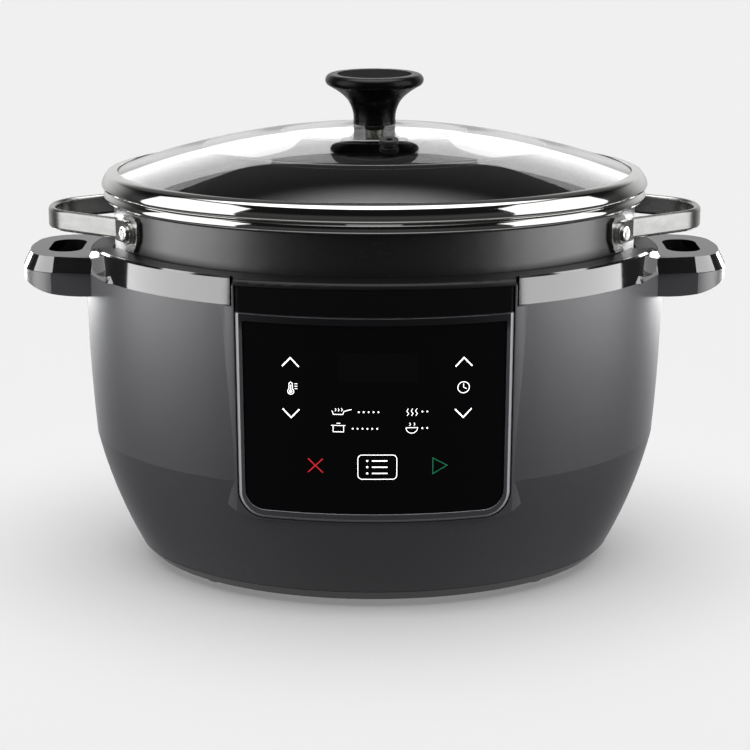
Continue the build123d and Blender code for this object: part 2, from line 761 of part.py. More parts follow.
def pot_handle_right():
    """Steel strip bent into a loop, each end closed by a round boss on its bracket."""
    reach, corner_y, root_y = LOOP_TIP, LOOP_CORNER_Y, LOOP_ROOT_Y
    outer = Polyline(
        (120, -root_y - 11), (reach, -corner_y), (reach, corner_y), (120, root_y + 11), close=True
    )
    outer_face = make_face(outer)
    outer_face = fillet([v for v in outer_face.vertices() if v.X > 150], 28)
    inner_face = offset(outer_face, -LOOP_T)
    strip = extrude(outer_face, LOOP_H) - Pos(0, 0, -1) * extrude(inner_face, LOOP_H + 2)
    strip = Pos(0, 0, LOOP_Z) * strip
    rounded = strip.faces().sort_by(Axis.Z)[-1].edges() + strip.faces().sort_by(Axis.Z)[0].edges()
    strip = fillet([e for e in rounded if e.center().X > 121], 2.0)
    strip = strip & block(140, 220, -70, 70, 180, 230)
    strip = strip - oval_disc(POT_R + 3.2, 180, 230)
    low, high = LOOP_Z - BOSS_Z, LOOP_Z + LOOP_H - BOSS_Z
    for frame, near, far in zip(bracket_frames()[2:], (0, -12), (12, 0)):
        boss = Pos(4.0, 0, 0) * Rot(0, 90, 0) * Cylinder(6.2, 3.0)
        tongue = block(2.5, 5.5, near, far, low, high)
        bore = Rot(0, 90, 0) * Cylinder(RIVET_R + TIGHT, 20)
        head_room = Pos(8.5, 0, 0) * Rot(0, 90, 0) * Cylinder(4.7, 6.0)
        strip = strip - frame * block(-20, 2.45, -14, 14, -14, 14) + frame * (boss + tongue)
        strip = strip - frame * bore - frame * head_room
    return strip


# ---------------------------------------------------------------- lid


def dome_height(radius):
    """Height of the glass's outer face at an oval half-width."""
    return DOME_TOP - (DOME_TOP - 236.0) * (radius / 155.0) ** 2


def lid_glass():
    """Shallow domed glass, with a faint change of curve at two ovals."""
    outer = []
    radii = [DOME_HOLE, 55.0, 101.5, 157.0]
    for low, high in zip(radii, radii[1:]):
        middle = (low + high) / 2
        lift = 0.25 + dome_height(middle)
        outer.append(ThreePointArc((low, dome_height(low)), (middle, lift), (high, dome_height(high))))
    first, last = dome_height(DOME_HOLE), dome_height(157.0)
    under = ThreePointArc(
        (157.0, last - LID_GLASS), (80, dome_height(80) - LID_GLASS), (DOME_HOLE, first - LID_GLASS)
    )
    ends = [
        Line((157.0, last), (157.0, last - LID_GLASS)),
        Line((DOME_HOLE, first - LID_GLASS), (DOME_HOLE, first)),
    ]
    glass = turned(*outer, ends[0], under, ends[1])
    return glass - rod(VENT_X, VENT_Y, 240, 280, 4.1)


def lid_band():
    """Polished steel channel round the glass, with a leg that drops inside the pot's mouth."""
    slot_top = dome_height(157.0) + 0.15
    slot_low = slot_top - LID_GLASS - 0.3
    return turned(
        Line((150.6, 223.0), (152.2, 223.0)),
        Line((152.2, 223.0), (152.2, LID_Z)),
        Line((152.2, LID_Z), (160.8, LID_Z)),
        ThreePointArc((160.8, LID_Z), (LID_R, 230.4), (159.4, LID_BAND_TOP + 0.6)),
        ThreePointArc((159.4, LID_BAND_TOP + 0.6), (156.6, LID_BAND_TOP + 1.6), (153.0, 237.6)),
        Line((153.0, 237.6), (153.0, 237.0)),
        Line((153.0, 237.0), (157.3, slot_top)),
        Line((157.3, slot_top), (157.3, slot_low)),
        Line((157.3, slot_low), (150.6, slot_low)),
        Line((150.6, slot_low), (150.6, 223.0)),
    )


def vent_grommet():
    """Soft bush in the steam hole."""
    z = dome_height(sqrt(VENT_X**2 + (VENT_Y / OVAL) ** 2))
    tilt = degrees(atan2(2 * (DOME_TOP - 236.0) * abs(VENT_Y) / (155.0 * OVAL) ** 2, 1))
    bush = Pos(0, 0, -1.8) * Cylinder(3.3, 8) + Pos(0, 0, 1.5) * Cylinder(5.4, 2.0)
    bush = bush + Pos(0, 0, -5.4) * Cylinder(5.4, 2.0)
    bush = bush - Cylinder(2.0, 30)
    return Pos(VENT_X, VENT_Y, z) * Rot(tilt, 0, 0) * bush


def knob():
    """Trumpet-shaped knob with a rolled edge and a shallow recess in its top."""
    z = KNOB_FOOT
    top = KNOB_TOP
    body = make_face([
        Line((0, z), (12.4, z)),
        Line((12.4, z), (12.5, z + 2.8)),
        Spline(
            (12.5, z + 2.8), (13.0, z + 5.7), (14.1, z + 8.7), (15.7, z + 11.7), (18.3, z + 14.6),
            (22.1, z + 17.6), (26.8, z + 20.5),
        ),
        ThreePointArc((26.8, z + 20.5), (29.1, z + 23.8), (25.0, top)),
        Line((25.0, top), (22.0, top)),
        Line((22.0, top), (22.0, top - 1.6)),
        Line((22.0, top - 1.6), (0, top - 1.6)),
        Line((0, top - 1.6), (0, z)),
    ])
    turned_knob = revolve(Plane.XZ * body, Axis.Z)
    groove = Pos(0, 0, z + 1.6) * Torus(12.9, 0.5)
    bore = rod(0, 0, z - 1, z + 14, 2.2)
    return turned_knob - groove - bore


def knob_cap():
    """Shallow disc let into the knob's top."""
    disc = rod(0, 0, KNOB_TOP - 1.5, KNOB_TOP - 0.1, 21.7)
    return fillet(disc.edges().sort_by(Axis.Z)[-1], 0.8)


def knob_washer():
    """Bright washer between knob and glass."""
    low = dome_height(DOME_HOLE) + 0.35
    return rod(0, 0, low, KNOB_FOOT - TIGHT, 12.6) - rod(0, 0, low - 1, KNOB_FOOT + 1, 2.6)


def glass_washer():
    """Soft washer under the glass."""
    high = dome_height(6) - LID_GLASS - 0.3
    return rod(0, 0, high - 1.5, high, 5.8) - rod(0, 0, high - 5, high + 5, 2.6)


def knob_screw():
    """Slotted screw up through the glass into the knob."""
    high = dome_height(6) - LID_GLASS - 1.8 - TIGHT
    head = rod(0, 0, high - 3.5, high, 5.5)
    head = fillet(head.edges().sort_by(Axis.Z)[0], 1.8) - block(-3.4, 3.4, -0.6, 0.6, high - 4, high - 2.2)
    return head + rod(0, 0, high, KNOB_FOOT + 12, 2.0)


# ---------------------------------------------------------------- writing


def write_base():
    save("outer_housing", outer_housing())
    save("base_cover", base_cover())
    save("feet", *feet())
    save("base_screws", *[screw_up(x, y, FOOT_H + 1.3 - 2.1, 3.8, 1.4, 18) for x, y in four_corners(112, 52)])
    save("deck_ring", deck_ring())
    right = trim_right()
    save("trim_right", right)
    save("trim_left", left(right))
    right = grip_right()
    save("grip_right", right)
    save("grip_left", left(right))
    save("handle_screws", *handle_screws())


def write_panel():
    save("control_bezel", control_bezel())
    save("top_strip", top_strip())
    save("panel_glass", panel_glass())
    save("touch_film", touch_film())
    save("panel_carrier", panel_carrier())
    save("control_board", control_board())
    save("display_module", display_module())
    save("board_screws", *board_screws())


def write_heating():
    save("inner_liner", inner_liner())
    save("heating_plate", heating_plate())
    save("plate_pillars", *plate_pillars())
    save("heating_element", heating_element())
    save("heat_shield", heat_shield())
    save("insulation", insulation())
    save("sensor_bracket", sensor_bracket())
    save("temperature_sensor", temperature_sensor())
    save("sensor_spring", sensor_spring())
    save("thermal_fuse", thermal_fuse())


def write_power():
    save("power_board", power_board())
    save("board_standoffs", *board_standoffs())
    save("transformer", transformer())
    save("relay", relay())
    save("capacitors", *capacitors())
    save("buzzer", buzzer())
    save("mains_inlet", mains_inlet())
    save("inlet_pins", *inlet_pins())
    save("inlet_screws", *inlet_screws())
    save("mains_wires", *mains_wires())
    save("element_wires", *element_wires())
    save("ribbon_cable", ribbon_cable())


def write_pot():
    save("cooking_pot", cooking_pot())
    save("pot_rim_band", pot_rim_band())
    save("pot_brackets", *pot_brackets())
    save("pot_rivets", *pot_rivets())
    right = pot_handle_right()
    save("pot_handle_right", right)
    save("pot_handle_left", left(right))


def write_lid():
    save("lid_glass", lid_glass())
    save("lid_band", lid_band())
    save("vent_grommet", vent_grommet())
    save("knob", knob())
    save("knob_cap", knob_cap())
    save("knob_washer", knob_washer())
    save("glass_washer", glass_washer())
    save("knob_screw", knob_screw())


write_base()
write_panel()
write_heating()
write_power()
write_pot()
write_lid()
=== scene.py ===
# %% [markdown]
# # An oval slow cooker
#
# The shapes of this cooker were drawn in a CAD program and packed as one model.
# Here they come in as a fixed frame, and get their finishes, their printed marks and the few
# pieces whose smooth curves are better made in Blender. Everything is in metres, with the
# control panel facing -Y.

import json
import math

import bmesh
import bpy
import numpy as np
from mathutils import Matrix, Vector
from mathutils.bvhtree import BVHTree


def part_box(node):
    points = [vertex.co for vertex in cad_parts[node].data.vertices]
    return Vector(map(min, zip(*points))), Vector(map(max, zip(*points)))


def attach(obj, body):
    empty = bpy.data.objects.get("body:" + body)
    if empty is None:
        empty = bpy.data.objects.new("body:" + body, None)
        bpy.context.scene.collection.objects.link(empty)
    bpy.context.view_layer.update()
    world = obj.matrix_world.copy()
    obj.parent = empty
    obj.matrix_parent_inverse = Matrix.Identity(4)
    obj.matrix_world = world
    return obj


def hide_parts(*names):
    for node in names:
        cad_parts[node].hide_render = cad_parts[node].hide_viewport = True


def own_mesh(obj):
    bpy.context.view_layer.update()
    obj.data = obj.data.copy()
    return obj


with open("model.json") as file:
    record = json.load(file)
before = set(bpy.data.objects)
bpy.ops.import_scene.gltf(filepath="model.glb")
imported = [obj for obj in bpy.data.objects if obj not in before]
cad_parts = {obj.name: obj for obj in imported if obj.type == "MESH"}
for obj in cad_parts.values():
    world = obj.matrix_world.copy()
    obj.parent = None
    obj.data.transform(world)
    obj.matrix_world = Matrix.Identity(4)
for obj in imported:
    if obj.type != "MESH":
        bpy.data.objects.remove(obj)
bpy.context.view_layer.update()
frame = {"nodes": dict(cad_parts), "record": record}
parts = frame["nodes"]

# %% [markdown]
# ## The camera
#
# A cooker is best seen from some way off through a long lens, so that its ovals stay calm and
# the handles don't swell. Here that is about 1.2 m off, a little above the lid, looking down
# by 15 degrees. An empty object or a constraint could aim the camera, but two numbers are
# enough: its place and its tilt.

# %% Camera
MM = 0.001
POT_AXIS_Y = 1.68 * MM
CAMERA_TILT = math.radians(15.2)

camera_data = bpy.data.cameras.new("studio_camera")
camera_data.sensor_width = 36
camera_data.lens = 98.45
camera = bpy.data.objects.new("studio_camera", camera_data)
camera.location = (0.0003, -1.215 + POT_AXIS_Y, 0.439)
camera.rotation_euler = (math.pi / 2 - CAMERA_TILT, 0, 0)
bpy.context.scene.collection.objects.link(camera)
bpy.context.scene.camera = camera
print("lens", camera_data.lens, "mm at", tuple(round(v, 3) for v in camera.location))

# %% [markdown]
# ## Floor and light
#
# Black gloss shows whatever stands round it, so the light decides how it looks more than the
# material does. The cooker stands on pale card, but a studio hides that card from the gloss
# with black flags: here the floor simply isn't seen in reflections. A backdrop wall would get in
# the way of other views, so the floor is simply very large. It gets its even light from the room
# overhead, and with it a soft contact shadow.

# %% Colours from hex values
def linear(hex_colour):
    """Turns an sRGB hex value into the linear colour that shaders work in."""
    channels = [int(hex_colour[i:i + 2], 16) / 255 for i in (1, 3, 5)]
    return [c / 12.92 if c <= 0.04045 else ((c + 0.055) / 1.055) ** 2.4 for c in channels] + [1.0]


# %% A node with its settings and links
def add_node(tree, kind, settings=None, sockets=None):
    """Adds one node; a socket's value is either a constant or another node's output to join to it."""
    made = tree.nodes.new(kind)
    for name, value in (settings or {}).items():
        setattr(made, name, value)
    for name, value in (sockets or {}).items():
        if isinstance(value, bpy.types.NodeSocket):
            tree.links.new(value, made.inputs[name])
        else:
            made.inputs[name].default_value = value
    return made


# %% The room
bpy.context.scene.view_settings.view_transform = "Standard"
room = bpy.data.worlds.new("studio_room")
room.use_nodes = True
room_tree = room.node_tree
room_tree.nodes.clear()
room_view = add_node(room_tree, "ShaderNodeTexCoord")
room_axes = add_node(room_tree, "ShaderNodeSeparateXYZ", {}, {0: room_view.outputs["Generated"]})
overhead = add_node(
    room_tree, "ShaderNodeMapRange", {"interpolation_type": "SMOOTHSTEP"},
    {"Value": room_axes.outputs["Z"], "From Min": 0.76, "From Max": 0.92, "To Min": 0.0, "To Max": 3.3},
)
behind = add_node(
    room_tree, "ShaderNodeMapRange", {"interpolation_type": "SMOOTHSTEP"},
    {"Value": room_axes.outputs["Y"], "From Min": 0.35, "From Max": 0.95, "To Min": 0.05, "To Max": 0.75},
)
horizon = add_node(
    room_tree, "ShaderNodeMapRange", {"interpolation_type": "SMOOTHSTEP"},
    {"Value": room_axes.outputs["Z"], "From Min": -0.10, "From Max": 0.10, "To Min": 0.8, "To Max": 1.0},
)
wall_top = add_node(
    room_tree, "ShaderNodeMapRange", {"interpolation_type": "SMOOTHSTEP"},
    {"Value": room_axes.outputs["Z"], "From Min": 0.28, "From Max": 0.50, "To Min": 1.0, "To Max": 0.15},
)
below = add_node(
    room_tree, "ShaderNodeMapRange", {"interpolation_type": "SMOOTHSTEP"},
    {"Value": room_axes.outputs["Z"], "From Min": -0.55, "From Max": -0.95, "To Min": 0.0, "To Max": 0.55},
)
low_wall = add_node(
    room_tree, "ShaderNodeMath", {"operation": "MULTIPLY"}, {0: horizon.outputs[0], 1: wall_top.outputs[0]}
)
back_wall = add_node(
    room_tree, "ShaderNodeMath", {"operation": "MULTIPLY"}, {0: behind.outputs[0], 1: low_wall.outputs[0]}
)
upper = add_node(
    room_tree, "ShaderNodeMath", {"operation": "ADD"}, {0: back_wall.outputs[0], 1: overhead.outputs[0]}
)
studio = add_node(
    room_tree, "ShaderNodeMath", {"operation": "ADD"}, {0: upper.outputs[0], 1: below.outputs[0]}
)
room_light = add_node(
    room_tree, "ShaderNodeBackground", {}, {"Color": linear("#ffffff"), "Strength": studio.outputs[0]}
)
pale = add_node(room_tree, "ShaderNodeBackground", {}, {"Color": linear("#f0f0f0"), "Strength": 1.0})
ray = add_node(room_tree, "ShaderNodeLightPath")
seen = add_node(
    room_tree, "ShaderNodeMixShader", {},
    {0: ray.outputs["Is Camera Ray"], 1: room_light.outputs[0], 2: pale.outputs[0]},
)
add_node(room_tree, "ShaderNodeOutputWorld", {}, {"Surface": seen.outputs[0]})
bpy.context.scene.world = room

# %% Floor
floor_mesh = bpy.data.meshes.new("floor")
floor_mesh.from_pydata([(-9, -9, 0), (9, -9, 0), (9, 12, 0), (-9, 12, 0)], [], [(0, 1, 2, 3)])
floor = bpy.data.objects.new("floor", floor_mesh)
bpy.context.scene.collection.objects.link(floor)
floor_paint = bpy.data.materials.new("pale_card")
floor_paint.use_nodes = True
card = floor_paint.node_tree.nodes["Principled BSDF"]
card.inputs["Base Color"].default_value = linear("#d2d2d2")
card.inputs["Roughness"].default_value = 0.9
card.inputs["Specular IOR Level"].default_value = 0.0
floor_mesh.materials.append(floor_paint)
floor.visible_glossy = False
floor.visible_diffuse = False


# %% [markdown]
# ### Lamps with flags
#
# Tall softboxes close in, left and right, give the bright facets of the trim and the soft slopes
# of the body. Narrow strips behind them draw the body's far edges. Steel and glass are far
# brighter mirrors than black plastic, so a studio flags the big lamps off them and
# gives them weak ones. Light linking does that here: each lamp has a collection that says which
# pieces it lights, or which ones it leaves out.

# %% Which pieces a lamp lights
SHINY = ("pot_handle_left", "pot_handle_right", "knob", "knob_cap", "knob_washer", "vent_grommet")


def light_group(name, members, state="INCLUDE"):
    """A collection for light linking: a lamp lights only these pieces, or all but these."""
    group = bpy.data.collections.new(name)
    for piece in members:
        group.objects.link(piece)
        group.collection_objects[-1].light_linking.link_state = state
    return group


shiny_parts = [parts[name] for name in SHINY]
not_card_or_shiny = light_group("not_card_or_shiny", [floor, *shiny_parts], "EXCLUDE")
shiny_only = light_group("shiny_only", shiny_parts)
floor_only = light_group("floor_only", [floor])
glass_only = light_group("glass_only", [])
print("pieces under the weak lamps:", len(shiny_parts))


# %% Softboxes and strips
def softbox(name, place, aim, size, watts, lit):
    """A rectangular lamp that the camera doesn't see, and that lights what its group says."""
    data = bpy.data.lights.new(name, "AREA")
    data.shape = "RECTANGLE"
    data.size, data.size_y = size
    data.energy = watts
    lamp = bpy.data.objects.new(name, data)
    lamp.location = place
    lamp.rotation_euler = (Vector(aim) - Vector(place)).to_track_quat("-Z", "Y").to_euler()
    lamp.visible_camera = False
    lamp.light_linking.receiver_collection = lit
    bpy.context.scene.collection.objects.link(lamp)


for side, word in ((-1, "left"), (1, "right")):
    beside, level = (side * 0.80, -0.35, 0.50), (0, -0.35, 0.50)
    softbox("softbox_" + word, beside, level, (0.78, 1.0), 25, not_card_or_shiny)
    softbox("steel_box_" + word, beside, level, (0.78, 1.0), 3.4, shiny_only)
    behind_it = (side * 0.62, 0.55, 0.40)
    softbox("rim_strip_" + word, behind_it, (0, 0, 0.20), (0.30, 0.8), 22, not_card_or_shiny)

# A card behind and above is mirrored by the dome alone, and veils its upper part.
softbox("veil_card", (0, 1.60, 0.98), (0, 0, 0.25), (2.0, 0.75), 7, glass_only)

# %% A lift for the card
card_lift = bpy.data.lights.new("card_lift", "SUN")
card_lift.energy = 1.05
card_lift.use_shadow = False
lift_lamp = bpy.data.objects.new("card_lift", card_lift)
lift_lamp.light_linking.receiver_collection = floor_only
bpy.context.scene.collection.objects.link(lift_lamp)

# %% [markdown]
# ## Finishes
#
# Each finish is a short chain of nodes that ends in one Principled shader. Patterns read Object
# coordinates, which on these parts are metres in the real object, so a scale is one metre
# divided by the size of the real grain. An image texture would need unwrapping and files.

# %% Starting a finish
def per_metre(millimetres):
    """How many grains of this size fit in a metre: the scale that a pattern node takes."""
    return 1000 / millimetres


def new_finish(name, hex_colour, roughness, **extra):
    """An empty finish: a shader with its fixed values, and the coordinates that patterns read."""
    finish = bpy.data.materials.new(name)
    finish.use_nodes = True
    tree = finish.node_tree
    tree.nodes.clear()
    values = {"Base Color": linear(hex_colour), "Roughness": roughness, **extra}
    shader = add_node(tree, "ShaderNodeBsdfPrincipled", {}, values)
    add_node(tree, "ShaderNodeOutputMaterial", {}, {"Surface": shader.outputs[0]})
    place = add_node(tree, "ShaderNodeTexCoord")
    return finish, tree, shader, place.outputs["Object"]


# %% [markdown]
# ### Moulded plastics
#
# ABS and polypropylene take the texture of their mould, a fine spark-eroded grain. It scatters
# light a little unevenly, which is what tells plastic from paint. One function makes them all,
# because only colour, grain size and gloss differ.

# %% Moulded plastic
def moulded(name, dark, light, grain, roughness, depth):
    """Plastic with a mould grain of this size in millimetres, mottled between two close colours."""
    finish, tree, shader, place = new_finish(name, dark, roughness)
    texture = add_node(
        tree, "ShaderNodeTexNoise", {}, {"Vector": place, "Scale": per_metre(grain), "Detail": 3.0}
    )
    patch = add_node(
        tree, "ShaderNodeTexNoise", {}, {"Vector": place, "Scale": per_metre(45), "Detail": 2.0}
    )
    tone = add_node(
        tree, "ShaderNodeMix", {"data_type": "RGBA"},
        {0: patch.outputs[0], 6: linear(dark), 7: linear(light)},
    )
    gloss = add_node(
        tree, "ShaderNodeMapRange", {},
        {"Value": texture.outputs[0], "To Min": roughness - 0.05, "To Max": roughness + 0.05},
    )
    relief = add_node(
        tree, "ShaderNodeBump", {}, {"Height": texture.outputs[0], "Distance": depth * MM, "Strength": 0.6}
    )
    tree.links.new(tone.outputs[2], shader.inputs["Base Color"])
    tree.links.new(gloss.outputs[0], shader.inputs["Roughness"])
    tree.links.new(relief.outputs[0], shader.inputs["Normal"])
    return finish


finishes = {
    "base_plastic": moulded("black_polypropylene_cover", "#2b2b2c", "#323233", 0.9, 0.50, 0.02),
    "grip_plastic": moulded("satin_abs_grip", "#29292b", "#2f2f31", 0.8, 0.40, 0.01),
    "inner_plastic": moulded("black_abs_inner_moulding", "#1c1c1d", "#242425", 1.0, 0.55, 0.03),
    "display_plastic": moulded("smoked_display_cover", "#101113", "#16171a", 0.6, 0.25, 0.005),
    "relay_case": moulded("blue_polyester_relay_case", "#1c3560", "#22406f", 0.8, 0.42, 0.01),
    "ribbon_grey": moulded("grey_pvc_ribbon", "#8b8b8d", "#98989a", 1.3, 0.50, 0.03),
    "touch_film": moulded("printed_polyester_touch_film", "#141416", "#1c1c20", 1.2, 0.30, 0.005),
    "transformer_iron": moulded("yellow_polyester_coil_tape", "#b08a20", "#c29a2c", 1.1, 0.42, 0.02),
}
print("moulded:", ", ".join(finishes))

# %% [markdown]
# ### Gloss plastics and the touch glass
#
# Piano-black ABS and moulded phenolic are polished, so they have almost no texture: only the
# faint waviness of a thin moulding, and a haze of fine wipe marks in the gloss. The waviness is
# tens of millimetres long, and the wipe marks well under one.

# %% Polished plastic
def polished_plastic(name, colour, roughness, haze, wave, level):
    """Polished plastic: a slow waviness in millimetres, and fine haze in the gloss."""
    finish, tree, shader, place = new_finish(
        name, colour, roughness, **{"Specular IOR Level": level, "IOR": 1.5}
    )
    wipe = add_node(
        tree, "ShaderNodeTexNoise", {}, {"Vector": place, "Scale": per_metre(3.0), "Detail": 6.0}
    )
    gloss = add_node(
        tree, "ShaderNodeMapRange", {},
        {"Value": wipe.outputs[0], "To Min": roughness, "To Max": roughness + haze},
    )
    sink = add_node(
        tree, "ShaderNodeTexNoise", {}, {"Vector": place, "Scale": per_metre(wave), "Detail": 1.0}
    )
    relief = add_node(
        tree, "ShaderNodeBump", {}, {"Height": sink.outputs[0], "Distance": 0.05 * MM, "Strength": 0.4}
    )
    tree.links.new(gloss.outputs[0], shader.inputs["Roughness"])
    tree.links.new(relief.outputs[0], shader.inputs["Normal"])
    return finish


finishes["gloss_trim"] = polished_plastic("piano_black_abs", "#0b0b0c", 0.05, 0.05, 30, 0.5)
finishes["gloss_strip"] = polished_plastic("piano_black_strip", "#070708", 0.08, 0.05, 40, 0.3)
finishes["gloss_knob"] = polished_plastic("black_phenolic", "#0a0a0b", 0.24, 0.08, 20, 0.25)
finishes["touch_glass"] = polished_plastic("black_backed_touch_glass", "#050506", 0.05, 0.03, 60, 0.25)
finishes["deck_plastic"] = polished_plastic("satin_abs_deck", "#0a0a0b", 0.30, 0.06, 30, 0.18)
finishes["capacitor_can"] = polished_plastic("sleeved_capacitor", "#17172a", 0.22, 0.10, 10, 0.5)
print("polished:", 6)


# %% Bezel with a painted sheen on its bevel
def bezel_with_painted_bevel_sheen():
    """Dark satin in front, black along the top bar, and a painted sheen of silver-grey on the bevel: told
    by place and facing.
    """
    finish, tree, shader, place = new_finish(
        "bezel_with_painted_bevel_sheen", "#2b2b2d", 0.30, **{"Specular IOR Level": 0.4}
    )
    facing = add_node(tree, "ShaderNodeNewGeometry")
    axes = add_node(tree, "ShaderNodeSeparateXYZ", {}, {0: facing.outputs["True Normal"]})
    bevel = add_node(
        tree, "ShaderNodeMapRange", {},
        {"Value": axes.outputs["Y"], "From Min": -0.92, "From Max": -0.90, "To Min": 0.0, "To Max": 1.0},
    )
    texture = add_node(
        tree, "ShaderNodeTexNoise", {}, {"Vector": place, "Scale": per_metre(0.7), "Detail": 3.0}
    )
    # The bevel's lighter silver-grey is painted sheen over the bezel's satin grey, picked by which way a
    # face looks.
    bevel_sheen_tone = add_node(
        tree, "ShaderNodeMix", {"data_type": "RGBA"},
        {0: texture.outputs[0], 6: linear("#666669"), 7: linear("#727275")},
    )
    height = add_node(tree, "ShaderNodeSeparateXYZ", {}, {0: place})
    top_bar = add_node(
        tree, "ShaderNodeMapRange", {},
        {"Value": height.outputs["Z"], "From Min": 0.168, "From Max": 0.172, "To Min": 0.0, "To Max": 1.0},
    )
    front = add_node(
        tree, "ShaderNodeMix", {"data_type": "RGBA"},
        {0: top_bar.outputs[0], 6: linear("#2b2b2d"), 7: linear("#08080a")},
    )
    tone = add_node(
        tree, "ShaderNodeMix", {"data_type": "RGBA"},
        {0: bevel.outputs[0], 6: front.outputs[2], 7: bevel_sheen_tone.outputs[2]},
    )
    gloss = add_node(
        tree, "ShaderNodeMapRange", {}, {"Value": bevel.outputs[0], "To Min": 0.30, "To Max": 0.34}
    )
    relief = add_node(
        tree, "ShaderNodeBump", {}, {"Height": texture.outputs[0], "Distance": 0.004 * MM, "Strength": 0.5}
    )
    tree.links.new(tone.outputs[2], shader.inputs["Base Color"])
    tree.links.new(gloss.outputs[0], shader.inputs["Roughness"])
    tree.links.new(relief.outputs[0], shader.inputs["Normal"])
    return finish


finishes["bezel_satin"] = bezel_with_painted_bevel_sheen()

# %% [markdown]
# ### Painted steel and the pot's coating
#
# The body is sprayed steel-look paint: dark grey, satin, with a very fine orange peel. The pot
# has a ceramic non-stick coating with pale mineral specks about half a millimetre across, which
# a Voronoi pattern scatters at random without any repeats.

# %% Body paint
def body_paint():
    """Satin dark-grey paint with fine orange peel and a trace of flake."""
    finish, tree, shader, place = new_finish(
        "satin_grey_body_paint", "#2d2d2f", 0.40, **{"Specular IOR Level": 0.38}
    )
    peel = add_node(
        tree, "ShaderNodeTexNoise", {}, {"Vector": place, "Scale": per_metre(1.1), "Detail": 2.0}
    )
    flake = add_node(tree, "ShaderNodeTexVoronoi", {}, {"Vector": place, "Scale": per_metre(0.6)})
    tone = add_node(
        tree, "ShaderNodeMix", {"data_type": "RGBA"},
        {0: flake.outputs["Color"], 6: linear("#252527"), 7: linear("#2c2c2f")},
    )
    gloss = add_node(
        tree, "ShaderNodeMapRange", {}, {"Value": peel.outputs[0], "To Min": 0.38, "To Max": 0.44}
    )
    relief = add_node(
        tree, "ShaderNodeBump", {}, {"Height": peel.outputs[0], "Distance": 0.006 * MM, "Strength": 0.5}
    )
    tree.links.new(tone.outputs[2], shader.inputs["Base Color"])
    tree.links.new(gloss.outputs[0], shader.inputs["Roughness"])
    tree.links.new(relief.outputs[0], shader.inputs["Normal"])
    return finish


finishes["body_paint"] = body_paint()


# %% Speckled pot coating
def pot_coating():
    """Black ceramic non-stick with scattered pale specks, drawn slightly coarse so that they show."""
    finish, tree, shader, place = new_finish(
        "speckled_nonstick", "#0c0c0d", 0.36, **{"Specular IOR Level": 0.36}
    )
    cells = add_node(
        tree, "ShaderNodeTexVoronoi", {}, {"Vector": place, "Scale": per_metre(2.2), "Randomness": 1.0}
    )
    speck = add_node(
        tree, "ShaderNodeMapRange", {},
        {
            "Value": cells.outputs["Distance"], "From Min": 0.08, "From Max": 0.15,
            "To Min": 1.0, "To Max": 0.0,
        },
    )
    pick = add_node(tree, "ShaderNodeSeparateColor", {}, {0: cells.outputs["Color"]})
    strength = add_node(
        tree, "ShaderNodeMath", {"operation": "MULTIPLY"}, {0: speck.outputs[0], 1: pick.outputs[0]}
    )
    tone = add_node(
        tree, "ShaderNodeMix", {"data_type": "RGBA"},
        {0: strength.outputs[0], 6: linear("#0a0a0b"), 7: linear("#343436")},
    )
    grain = add_node(
        tree, "ShaderNodeTexNoise", {}, {"Vector": place, "Scale": per_metre(0.8), "Detail": 4.0}
    )
    gloss = add_node(
        tree, "ShaderNodeMapRange", {}, {"Value": grain.outputs[0], "To Min": 0.30, "To Max": 0.42}
    )
    relief = add_node(
        tree, "ShaderNodeBump", {}, {"Height": grain.outputs[0], "Distance": 0.02 * MM, "Strength": 0.6}
    )
    tree.links.new(tone.outputs[2], shader.inputs["Base Color"])
    tree.links.new(gloss.outputs[0], shader.inputs["Roughness"])
    tree.links.new(relief.outputs[0], shader.inputs["Normal"])
    return finish


finishes["pot_coating"] = pot_coating()
print("painted: body and pot")

# %% [markdown]
# ### Metals
#
# What sets one steel apart from another is how its surface was worked. Polished stainless keeps
# faint lines from the buffing wheel, brushed and drawn metal has long scratches in one direction,
# and cast aluminium is grainy. A noise stretched along one axis makes the scratches.

# %% Worked metal
def worked_metal(name, colour, roughness, scratch, stretch, depth, tint=None):
    """Metal with scratches this wide in millimetres, drawn out along the axes where stretch is small."""
    finish, tree, shader, place = new_finish(name, colour, roughness, Metallic=1.0)
    along = add_node(tree, "ShaderNodeMapping", {}, {"Vector": place, "Scale": stretch})
    lines = add_node(
        tree, "ShaderNodeTexNoise", {},
        {"Vector": along.outputs[0], "Scale": per_metre(scratch), "Detail": 5.0},
    )
    gloss = add_node(
        tree, "ShaderNodeMapRange", {},
        {"Value": lines.outputs[0], "To Min": 0.7 * roughness, "To Max": 1.3 * roughness},
    )
    tone = add_node(
        tree, "ShaderNodeMix", {"data_type": "RGBA"},
        {0: lines.outputs[0], 6: linear(colour), 7: linear(tint or colour)},
    )
    relief = add_node(
        tree, "ShaderNodeBump", {}, {"Height": lines.outputs[0], "Distance": depth * MM, "Strength": 0.5}
    )
    tree.links.new(tone.outputs[2], shader.inputs["Base Color"])
    tree.links.new(gloss.outputs[0], shader.inputs["Roughness"])
    tree.links.new(relief.outputs[0], shader.inputs["Normal"])
    return finish


finishes["polished_steel"] = worked_metal("polished_stainless", "#e4e4e2", 0.06, 1.5, (0.1, 0.1, 1), 0.001)
finishes["satin_steel"] = worked_metal(
    "satin_stainless", "#c6c6c4", 0.26, 5.0, (0.5, 0.5, 1), 0.001, "#b8b8b6"
)
finishes["liner_steel"] = worked_metal(
    "drawn_aluminised_steel", "#b9b9b6", 0.34, 0.9, (1, 1, 0.05), 0.006, "#a9a9a6"
)
finishes["element_steel"] = worked_metal(
    "heat_darkened_sheath", "#6b6258", 0.42, 1.2, (1, 1, 1), 0.01, "#4e4a48"
)
finishes["spring_steel"] = worked_metal(
    "drawn_spring_wire", "#a5a5a3", 0.25, 0.3, (1, 1, 0.4), 0.002, "#b4b4b2"
)
finishes["zinc_screws"] = worked_metal("zinc_plate", "#bdbcb4", 0.28, 0.6, (1, 1, 1), 0.004, "#d0cfc8")
